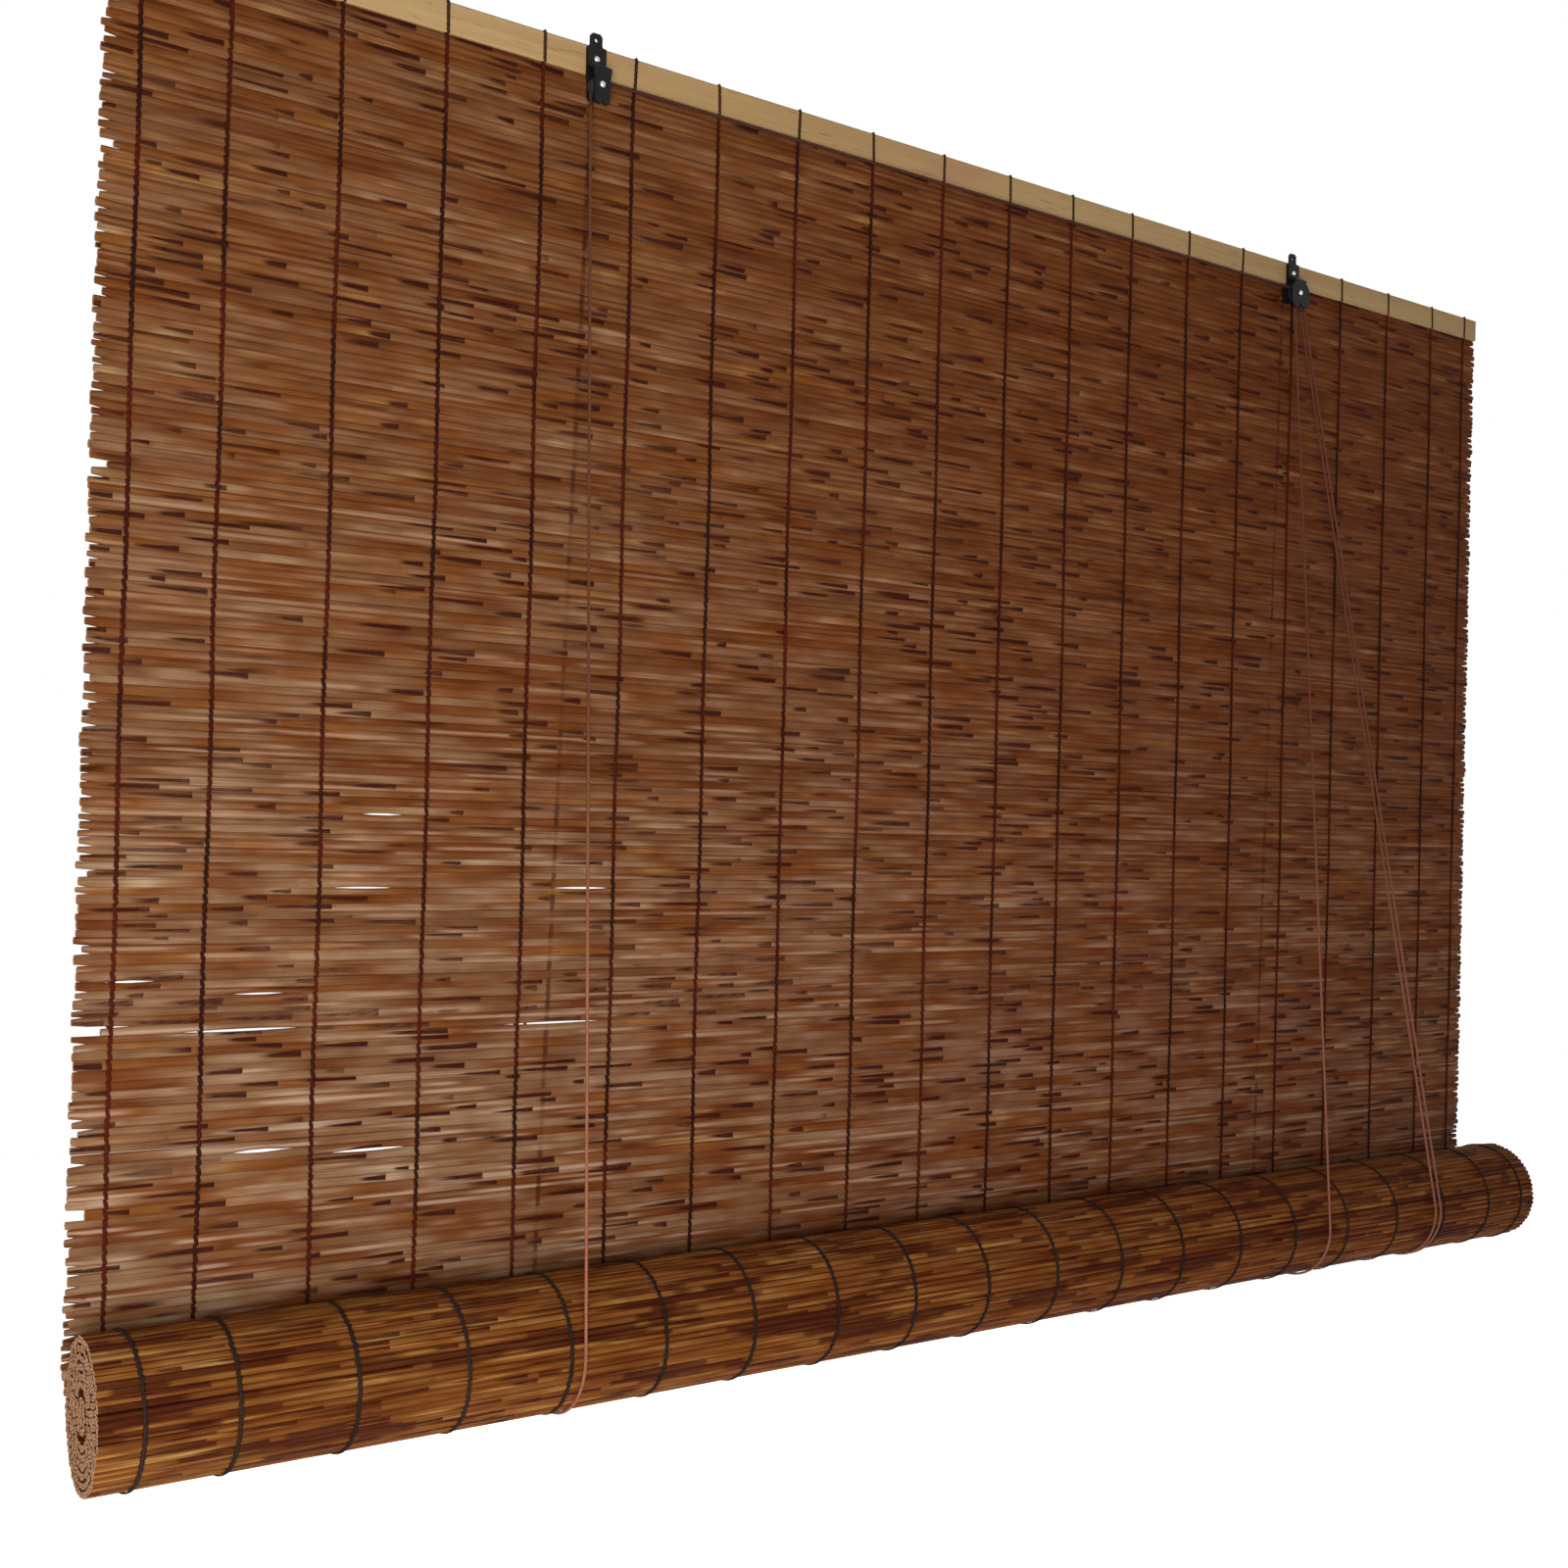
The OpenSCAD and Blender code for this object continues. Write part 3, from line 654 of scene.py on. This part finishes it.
# Slits that show the light: from the mat's left edge, below the batten, and half length
SLITS = [(0.118, 0.757, 0.05), (0.015, 0.749, 0.035), (0.395, 0.656, 0.03), (0.37, 0.763, 0.055),
         (0.208, 0.656, 0.032), (0.222, 0.6, 0.02), (0.135, 0.845, 0.02), (0.219, 0.848, 0.035),
         (0.131, 0.733, 0.025), (0.038, 0.721, 0.02)]
# Short reeds at the left edge: below the batten, and how far they stay back
SHORT_REEDS = [(0.143, 0.011), (0.364, 0.013), (0.51, 0.006), (0.645, 0.008), (0.755, 0.02), (0.877, 0.013)]


def reed_shape(left, right, height, depth, z, y, seed, dents=(), tip=(0.95, 1.05), out=(-1.0, 0.0)):
    """Shapes the reed blank to one reed, thicker at one end, with a slight wander and its face turned to out.

    Dents push it off a slit; tip is the range of its ends' thickness.
    """
    draw = random.Random(seed)
    waves = [tuple(draw.uniform(*span) for span in WAVE_SPANS) for _ in range(3)]
    taper = draw.uniform(-TAPER, TAPER)
    tips = [(draw.uniform(*tip), draw.uniform(-1, 1) * TIP_DROOP * (1 - tip[0])) for _ in range(2)]

    def shape(corner):
        share = corner.x + 0.5
        x = left + share * (right - left)
        wander = sum(math.sin(start + rate * x) * size for start, rate, size in waves)
        thick = 1 + taper * (share - 0.5) * 2 + SWELL * math.sin(waves[0][0] + SWELL_RATE * x)
        push, thin = 0.0, 1.0
        for middle, half, way in dents:
            near = max(0.0, 1 - ((x - middle) / half) ** 2)
            push += way * DENT_PUSH * near
            thin -= DENT_THIN * near
        if share < TIP_SHARE or share > 1 - TIP_SHARE:
            slim, droop = tips[share > 0.5]
            thick *= slim
            push += droop
        deep, high = -corner.y * depth * thick, corner.z * height * thick * thin
        return Vector((x, y + WAVE_Y * wander + deep * out[0] + high * out[1],
                       z + WAVE_Z * wander + push + deep * out[1] - high * out[0])), x
    return shape


def mat_reeds():
    """The hanging mat, one reed in each row of the solid; those beside a slit are a piece of their own."""
    plain, sprung = [], []
    rows = list(zip(GROOVES, GROOVES[1:]))
    for i, (top, foot) in enumerate(rows):
        z = (top + foot) / 2
        left = MAT_LOW.x + rng.uniform(0, RAGGED)
        left += rng.uniform(0, SHORT_BY) if rng.random() < SHORT_CHANCE else 0
        right = MAT_HIGH.x - rng.uniform(0, RAGGED)
        dents = []
        for x, below, length in SLITS:
            line = BATTEN_FOOT - below
            if abs(top - line) <= (top - foot) / 2 + SLIT_SLACK:
                dents.append((MAT_LOW.x + x, length, -1))
            elif abs(foot - line) <= (top - foot) / 2:
                dents.append((MAT_LOW.x + x, length, 1))
        for below, back in SHORT_REEDS:
            if foot <= BATTEN_FOOT - below < top:
                left = MAT_LOW.x + back
        height = (top - foot) * rng.uniform(*REED_HEIGHTS)
        depth = MAT_R * rng.uniform(*REED_DEPTHS)
        shape = reed_shape(left, right, height, depth, z, MAT_Y, i, dents, MAT_TIPS)
        (sprung if dents else plain).append((i + rng.random() * NUMBER_SPREAD, shape))
    finishes = [mat_reed, cut_reed, reed_bore]
    pieces = [copies("reed_strands", reed_blank("reed_blank", REED_RINGS, REED_BORE), plain, finishes),
              copies("sprung_reeds", reed_blank("sprung_blank", SPRUNG_RINGS, REED_BORE), sprung, finishes)]
    for piece in pieces:
        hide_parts("reed_mat")
        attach(piece, "head")
        shorten(piece, BATTEN_FOOT, ROLL_Z)


def shorten(piece, top, foot):
    """Gives the piece a mesh of its own."""
    1 - LIFT / (top - foot)
    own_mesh(piece)


def turn_point(angle, r):
    """A point round the roll; angles in degrees count from the rear, downwards."""
    a = math.radians(angle)
    return ROLL_Y + r * math.cos(a), ROLL_Z - r * math.sin(a)


def turn_r(angle):
    """Outer radius of the roll's turns; each is round and dips behind the top, to pass under its start."""
    turn, place = divmod(angle, 360)
    return ROLL_R - TURN_PITCH * (turn + min(1.0, max(0.0, (place - DIP_START) / DIP_RUN)))


def rolled_reeds():
    """The roll: two turns of whole reeds, and inside them the ends of the turns and the core that show."""
    whole, stubs = [], []
    spacing = (ROLL_R - MAT_R) * 2 * math.pi / ROLL_REEDS
    angle, number = 0.0, FIRST_ROLL_REED
    while angle < TURNS * 360 - LAST_GAP:
        inner = angle > OUTER_TURN
        step = 360 / ROLL_REEDS
        if inner:
            step = math.degrees(spacing * rng.uniform(*INNER_STEPS) / (turn_r(angle) - MAT_R))
        middle = angle + step / 2
        out = (math.cos(math.radians(middle)), -math.sin(math.radians(middle)))
        sunk = rng.uniform(*INNER_SUNK) if inner else 0
        y, z = turn_point(middle, turn_r(middle) - MAT_R - sunk)
        wide = spacing / 2 * rng.uniform(*(INNER_WIDTHS if inner else OUTER_WIDTHS))
        deep = MAT_R * rng.uniform(*(INNER_DEPTHS if inner else OUTER_DEPTHS))
        left, right = roll_reach(y)
        if angle < WHOLE_TURNS:
            whole.append((number, reed_shape(left, right, wide, deep, z, y, number, out=out)))
        else:
            stubs += roll_stubs(number, left, right, wide, deep, z, y, out)
        angle += step
        number += 1
    for ring, count in CORE_RINGS:
        for k in range(count):
            a = 2 * math.pi * k / count + ring * CORE_TWIST
            y, z = ROLL_Y + ring * math.cos(a), ROLL_Z + ring * math.sin(a)
            left, right = roll_reach(y)
            stubs += roll_stubs(number, left, right, MAT_R, MAT_R, z, y, (-1.0, 0.0))
            number += 1
    finishes = [roll_reed, cut_reed, reed_bore]
    for piece in (copies("roll_reeds", reed_blank("roll_blank", REED_RINGS, REED_BORE), whole, finishes),
                  copies("roll_ends", reed_blank("stub_blank", (), STUB_BORE), stubs, finishes)):
        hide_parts("rolled_mat")
        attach(piece, "roll")


def roll_reach(y):
    """Both ends of a reed in the roll; the wound left end slants, further out at the front."""
    slant = ROLL_SLANT * (y - ROLL_Y) / ROLL_R
    return ROLL_LOW.x + slant + rng.uniform(0, ROLL_RAGGED), ROLL_HIGH.x - rng.uniform(0, ROLL_RAGGED)


def roll_stubs(number, left, right, wide, deep, z, y, out):
    """A short reed at each end of the roll."""
    return [(number, reed_shape(a, b, wide, deep, z, y, number, out=out))
            for a, b in ((left, left + STUB), (right - STUB, right))]


def stitch_shape(middle, along, out, half_length, half_width, half_depth, tilt):
    """Shapes a stitch to lie along one way on a surface, tilted as the twine's lay is."""
    side = along.cross(out)
    lay = Matrix.Rotation(tilt, 3, out)
    way, across = lay @ along, lay @ side

    def shape(corner):
        return (middle + way * corner.z * half_length + across * corner.x * half_width
                + out * corner.y * half_depth), 0.0
    return shape


def mat_stitches():
    """The twines on the mat: one stitch over each reed, in front down to the roll and at the back."""
    blank = stitch_blank()
    up = Vector((0, 0, 1))
    nip = ROLL_Z + NIP * ROLL_R
    for name, out, surface in (("front_twines", Vector((0, -1, 0)), MAT_LOW.y),
                               ("back_twines", Vector((0, 1, 0)), MAT_HIGH.y)):
        shapes = []
        for number, x in enumerate(TWINE_X):
            drift = rng.uniform(0, SWAY_START)
            for top, foot in zip(GROOVES, GROOVES[1:]):
                z = (top + foot) / 2
                if out.y < 0 and z < nip:
                    continue
                sway = MAT_SWAY * math.sin(drift + z * SWAY_RATE)
                middle = Vector((x + sway + rng.uniform(-MAT_JITTER, MAT_JITTER), surface, z))
                middle += out * (TWINE_T * STITCH_OUT)
                wide = TWINE_W * rng.uniform(*MAT_STITCH_WIDE)
                shapes.append((number, stitch_shape(middle, up, out, (top - foot) * MAT_STITCH_LONG, wide,
                                                    TWINE_T * STITCH_DEEP, STITCH_TILT)))
        piece = copies(name, blank, shapes, [mat_twine], ROUND_DEG)
        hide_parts("mat_twines")
        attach(piece, "head")
        shorten(piece, BATTEN_FOOT, nip if out.y < 0 else ROLL_Z)


def batten_wraps():
    """The twines where they lie flat on the batten: up both faces and over the top."""
    blank = stitch_blank()
    up, back, front = Vector((0, 0, 1)), Vector((0, 1, 0)), Vector((0, -1, 0))
    shapes = []
    for number, x in enumerate(TWINE_X):
        lean = rng.uniform(-WRAP_LEAN, WRAP_LEAN)
        for out, y in ((front, BATTEN_LOW.y), (back, BATTEN_HIGH.y)):
            for k in range(FACE_WRAPS):
                z = BATTEN_LOW.z + (k + 0.5) * (BATTEN_HIGH.z - BATTEN_LOW.z) / FACE_WRAPS
                middle = Vector((x + lean * (k / FACE_WRAPS), y, z)) + out * (TWINE_FLAT * WRAP_OUT)
                shapes.append((number, stitch_shape(middle, up, out, FACE_LONG, TWINE_W * WRAP_WIDE,
                                                    TWINE_FLAT * FACE_DEEP, WRAP_TILT)))
        for k in range(TOP_WRAPS):
            y = BATTEN_LOW.y + (k + 0.5) * (BATTEN_HIGH.y - BATTEN_LOW.y) / TOP_WRAPS
            middle = Vector((x + lean, y, BATTEN_HIGH.z + TWINE_FLAT * WRAP_OUT))
            shapes.append((number, stitch_shape(middle, back, up, TOP_LONG, TWINE_W * WRAP_WIDE,
                                                TWINE_FLAT * TOP_DEEP, WRAP_TILT)))
    piece = copies("batten_twines", blank, shapes, [wrap_twine], ROUND_DEG)
    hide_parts("mat_twines")
    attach(piece, "head")


def roll_stitches():
    """The twines round the roll's outer turn."""
    blank = stitch_blank()
    shapes = []
    step = 360 / ROLL_REEDS
    for number, x in enumerate(TWINE_X):
        for k in range(*ROLL_STITCHES):
            angle = (k + 0.5) * step
            a = math.radians(angle)
            out = Vector((0, math.cos(a), -math.sin(a)))
            along = Vector((0, -math.sin(a), -math.cos(a)))
            y, z = turn_point(angle, turn_r(angle) + TWINE_T * STITCH_OUT)
            middle = Vector((x + rng.uniform(-ROLL_JITTER, ROLL_JITTER), y, z))
            wide = TWINE_W * rng.uniform(*ROLL_STITCH_WIDE)
            shapes.append((number, stitch_shape(middle, along, out, ROLL_STITCH_LONG, wide,
                                                TWINE_T * STITCH_DEEP, -STITCH_TILT)))
    piece = copies("roll_twines_wound", blank, shapes, [roll_twine], ROUND_DEG)
    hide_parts("roll_twines")
    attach(piece, "roll")


def even_path(points, step=CORD_STEP):
    """A smooth line through the points, with a point about every step; long runs stay straight."""
    given = [Vector(p) for p in points]
    points = given[:1]
    for a, b in zip(given, given[1:]):
        count = math.ceil((b - a).length / (2 * step))
        points += [a.lerp(b, k / count) for k in range(1, count + 1)]
    ends = [2 * points[0] - points[1]] + points + [2 * points[-1] - points[-2]]
    line = []
    for a, b, c, d in zip(ends, ends[1:], ends[2:], ends[3:]):
        count = max(1, round((c - b).length / step))
        for k in range(count):
            t = k / count
            line.append(0.5 * (2 * b + (c - a) * t + (2 * a - 5 * b + 4 * c - d) * t * t
                               + (3 * b - a - 3 * c + d) * t * t * t))
    return line + [points[-1]]


def cord_piece(name, path, node, body, material=shaded_cord):
    """A cord along path, with a UV map whose u runs round it and v along it in metres."""
    ways = [(b - a).normalized() for a, b in zip([path[0]] + path[:-1], path[1:] + [path[-1]])]
    side = ways[0].orthogonal().normalized()
    points, runs, run = [], [], 0.0
    for i, (middle, way) in enumerate(zip(path, ways)):
        run += (middle - path[i - 1]).length if i else 0.0
        side = (side - way * side.dot(way)).normalized()
        up = way.cross(side)
        for k in range(CORD_SIDES):
            a = 2 * math.pi * k / CORD_SIDES
            points.append(middle + CORD_R * (math.cos(a) * side + math.sin(a) * up))
        runs.append(run)
    faces, corners = [], []
    for i in range(len(path) - 1):
        for k in range(CORD_SIDES):
            n = (k + 1) % CORD_SIDES
            here, there = i * CORD_SIDES, (i + 1) * CORD_SIDES
            faces.append((here + k, here + n, there + n, there + k))
            u0, u1 = k / CORD_SIDES, (k + 1) / CORD_SIDES
            corners += [(u0, runs[i]), (u1, runs[i]), (u1, runs[i + 1]), (u0, runs[i + 1])]
    last = (len(path) - 1) * CORD_SIDES
    faces += [tuple(range(CORD_SIDES - 1, -1, -1)), tuple(range(last, last + CORD_SIDES))]
    corners += [(0.5, runs[0])] * CORD_SIDES + [(0.5, runs[-1])] * CORD_SIDES
    mesh = bpy.data.meshes.new(name)
    mesh.from_pydata(points, [], faces)
    layer = mesh.uv_layers.new(name="lay")
    layer.data.foreach_set("uv", [value for corner in corners for value in corner])
    piece = show(name, mesh, [material])
    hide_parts(node)
    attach(piece, body)
    return piece


def sling_point(x, angle):
    """A point of a sling's middle line; angles in degrees count from the rear, downwards."""
    a = math.radians(angle)
    return Vector((x, ROLL_Y + SLING_R * math.cos(a), ROLL_Z - SLING_R * math.sin(a)))


def sling_path(start, x):
    """From where a front run meets it, down to the roll's front and under the roll to its rear."""
    under = [sling_point(x, SLING_END * (1 - k / SLING_STEPS)) for k in range(SLING_STEPS + 1)]
    return [meeting(start, x)] + under


def meeting(start, x):
    """Where a front run, which shortens, meets the run that rises with the roll."""
    touch = sling_point(x, SLING_END)
    return touch.lerp(Vector(start), (ROLL_Z + SLING_RISE - touch.z) / (start[2] - touch.z))


def leaving(start, x):
    """Where a front run comes out below its hanger."""
    touch = sling_point(x, SLING_END)
    return Vector(start).lerp(touch, (start[2] - LEAVE_Z) / (start[2] - touch.z))


def wheel_arc(x, y, first, last):
    """A cord's way over a wheel; angles in degrees count from the left, upwards."""
    steps = round((last - first) / ARC_STEP)
    angles = [math.radians(first + ARC_STEP * k) for k in range(steps + 1)]
    return [Vector((x - WRAP_R * math.cos(a), y, WHEEL_Z + WRAP_R * math.sin(a))) for a in angles]


def path_length(path):
    return sum((b - a).length for a, b in zip(path, path[1:]))


LEFT_START = (WHEEL_X[0] - WRAP_R, GROOVE_Y[0], WHEEL_Z)
RIGHT_START = (WHEEL_X[1] - WRAP_R, GROOVE_Y[1], WHEEL_Z)
PULL_START = [(WHEEL_X[1] + WRAP_R, groove, WHEEL_Z) for groove in GROOVE_Y]


def lift_cords():
    """Each lift cord: down the front from its hanger, under the roll, and up the back to its screw eye."""
    for side, start, x, finish_of in (("left", LEFT_START, LEFT_CORD_X, lift_cord),
                                      ("right", RIGHT_START, RIGHT_CORD_X, shaded_cord)):
        front = even_path([leaving(start, x), meeting(start, x)])
        piece = cord_piece(f"{side}_front_cord_twisted", front, f"{side}_front_cord", "head", finish_of)
        shorten(piece, LEAVE_Z, front[-1].z)
        under = even_path(sling_path(start, x))
        cord_piece(f"{side}_sling_cord_twisted", under, f"{side}_sling_cord", "sling", finish_of)
        rear = even_path([sling_point(x, 0), (x, RING_Y, KNOT_FOOT)])
        piece = cord_piece(f"{side}_back_cord_twisted", rear, f"{side}_back_cord", "head", finish_of)
        shorten(piece, KNOT_FOOT, ROLL_Z)


def wheel_cords():
    """The cords over the wheels, with the short runs that come out below the hangers."""
    cross = ([leaving(LEFT_START, LEFT_CORD_X)] + wheel_arc(WHEEL_X[0], GROOVE_Y[0], 0, 90)
             + wheel_arc(WHEEL_X[1], GROOVE_Y[0], 90, 180) + [leaving(PULL_START[0], PULL_X[0])])
    wrap = ([leaving(RIGHT_START, RIGHT_CORD_X)] + wheel_arc(WHEEL_X[1], GROOVE_Y[1], 0, 180)
            + [leaving(PULL_START[1], PULL_X[1])])
    # The cords over the wheels, in the batten's painted shade
    cord_piece("cross_cord_twisted", even_path(cross), "cross_cord", "head", dim_cord)
    cord_piece("right_wrap_cord_twisted", even_path(wrap), "right_wrap_cord", "head", dim_cord)


def pull_cords():
    """The two pull strands: slanting to the roll's front, under it, and to their hitch on the lift cord."""
    knot = pull_hitch()
    for letter, start, x, rise in zip("ab", PULL_START, PULL_X, TAIL_RISE):
        front = even_path([leaving(start, x), meeting(start, x)])
        strand = cord_piece(f"pull_cord_{letter}_twisted", front, f"pull_cord_{letter}", "head")
        shorten(strand, LEAVE_Z, front[-1].z)
        tuple(front[0])
        path_length(front)
        [tuple(p) for p in front]
        bend = [(x - left, TAIL_Y, ROLL_Z + above + rise) for left, above in TAIL_BENDS]
        bend.append((TAIL_KNOT[0] + TAIL_END[0], TAIL_Y, TAIL_KNOT[2] + TAIL_END[1] + rise))
        rear = even_path(sling_path(start, x) + [Vector(p) for p in bend])
        tail = cord_piece(f"pull_tail_{letter}_twisted", rear, f"pull_tail_{letter}", "sling")
        tuple(rear[0])
        path_length(rear)
        [tuple(p) for p in rear]
        [knot] if letter == "a" else []


def pull_hitch():
    """The hitch: three turns of the pull cords round the right lift cord."""
    coil = []
    for k in range(HITCH_STEPS + 1):
        a = 2 * math.pi * HITCH_TURNS * k / HITCH_STEPS
        coil.append(Vector((TAIL_KNOT[0] + HITCH_R * math.cos(a), TAIL_KNOT[1] + HITCH_R * math.sin(a),
                            TAIL_KNOT[2] - HITCH_HEIGHT / 2 + HITCH_HEIGHT * k / HITCH_STEPS)))
    return cord_piece("pull_hitch", coil, "pull_knot", "sling")


def stopper_knots():
    """An overhand knot on each lift cord, on top of its screw eye."""
    low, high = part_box("stopper_knots")
    middle_z = (low.z + high.z) / 2
    for side, x, finish_of in (("left", LEFT_CORD_X, lift_cord), ("right", RIGHT_CORD_X, shaded_cord)):
        loop = []
        for k in range(KNOT_STEPS):
            t = 2 * math.pi * k / KNOT_STEPS
            loop.append(Vector((x + KNOT_R * (math.sin(t) + 2 * math.sin(2 * t)),
                                RING_Y + KNOT_R * (math.cos(t) - 2 * math.cos(2 * t)),
                                middle_z - KNOT_RISE * math.sin(3 * t))))
        cord_piece(f"{side}_stopper_knot", loop, "stopper_knots", "head", finish_of)


def dress_nodes():
    """Better finishes for the CAD nodes whose shape stays."""
    finishes = {"head_batten": batten_wood, "bottom_batten": batten_wood, "screw_eyes": bright_zinc}
    for side in ("left", "right"):
        finishes.update({f"{side}_rear_plate": hanger_black, f"{side}_front_plate": hanger_black,
                         f"{side}_wheel": wheel_nylon, f"{side}_axle": bright_zinc,
                         f"{side}_screw": bright_zinc})
    for name, material in finishes.items():
        nodes[name].data.materials.clear()
        nodes[name].data.materials.append(material)


def camera():
    """The photograph's view, as fitted to the twines, the batten and the roll."""
    yaw, pitch, roll = (math.radians(a) for a in (CAMERA_YAW, CAMERA_PITCH, CAMERA_ROLL))
    forward = Vector((math.sin(yaw) * math.cos(pitch), math.cos(yaw) * math.cos(pitch), math.sin(pitch)))
    level = Vector((math.cos(yaw), -math.sin(yaw), 0))
    above = level.cross(forward)
    right = math.cos(roll) * level + math.sin(roll) * above
    up = -math.sin(roll) * level + math.cos(roll) * above
    data = bpy.data.cameras.new("view")
    data.sensor_width, data.lens = SENSOR, LENS
    data.shift_x, data.shift_y = SHIFT_X, SHIFT_Y
    data.clip_start = CLIP_START
    seen = bpy.data.objects.new("view", data)
    place = Matrix((right, up, -forward)).transposed().to_4x4()
    place.translation = CAMERA_AT
    seen.matrix_world = place
    bpy.context.scene.collection.objects.link(seen)
    bpy.context.scene.camera = seen


def lamp(name, place, target, size, watts):
    """A square lamp that shines on its target and isn't seen itself."""
    data = bpy.data.lights.new(name, "AREA")
    data.size, data.energy = size, watts
    shining = bpy.data.objects.new(name, data)
    shining.location = place
    shining.visible_camera = False
    shining.rotation_euler = (Vector(target) - Vector(place)).to_track_quat("-Z", "Y").to_euler()
    bpy.context.scene.collection.objects.link(shining)


def seen_directly(wire):
    """1 for what the camera, a mirror or glass sees, 0 for light that falls on something."""
    rays = [wire.node("ShaderNodeLightPath", output=name)
            for name in ("Is Camera Ray", "Is Glossy Ray", "Is Transmission Ray")]
    return wire.math("MAXIMUM", wire.math("MAXIMUM", rays[0], rays[1]), rays[2])


def studio():
    """White surroundings and soft light: from the front left, from behind, and a little from the right."""
    for name, place, target, size, watts in LAMPS:
        lamp(name, place, target, size, watts)
    world = bpy.data.worlds.new("white_room")
    bpy.context.scene.world = world
    world.use_nodes = True
    start = Wire(world.node_tree)
    seen = seen_directly(start)
    background = world.node_tree.nodes["Background"]
    start.plug(background.inputs["Color"], seen.mix((0.98, 0.99, 1, 1), (1, 1, 1, 1)))
    start.plug(background.inputs["Strength"], AMBIENT + seen * (1 - AMBIENT))


def pale_floor():
    """A pale floor well below the blind, which goes over into the white surroundings further out."""
    bpy.ops.object.select_all(action="DESELECT")
    bpy.ops.mesh.primitive_plane_add(size=FLOOR_SIZE, location=(0, 0, FLOOR_Z))
    floor = bpy.context.object
    floor.name = "floor"
    bpy.ops.object.transform_apply(location=True, rotation=True, scale=True)
    material = bpy.data.materials.new("pale_floor")
    material.use_nodes = True
    tree = material.node_tree
    shader = tree.nodes["Principled BSDF"]
    shader.inputs["Base Color"].default_value = (0.9, 0.9, 0.9, 1)
    shader.inputs["Roughness"].default_value = 0.9
    shader.inputs["Emission Strength"].default_value = 1
    start = Wire(tree)
    place = start.node("ShaderNodeTexCoord", output=3)
    away = start.node("ShaderNodeVectorMath", {"operation": "LENGTH"}, {0: place}, output=1)
    glow = seen_directly(start) * (FLOOR_GLOW + (1 - FLOOR_GLOW) * away.ramp(GLOW_FROM, GLOW_TO))
    start.plug(shader.inputs["Emission Color"], glow.mix((0, 0, 0, 1), (1, 1, 1, 1)))
    floor.data.materials.append(material)


def remove_blanks():
    """Takes the blanks out once their copies are made."""
    for blank in [o for o in bpy.data.objects if "_blank" in o.name]:
        bpy.data.objects.remove(blank)


camera()
lift_cords()
wheel_cords()
pull_cords()
stopper_knots()
mat_reeds()
rolled_reeds()
mat_stitches()
batten_wraps()
roll_stitches()
dress_nodes()
remove_blanks()
studio()
pale_floor()

bpy.context.scene.view_settings.view_transform = "Standard"
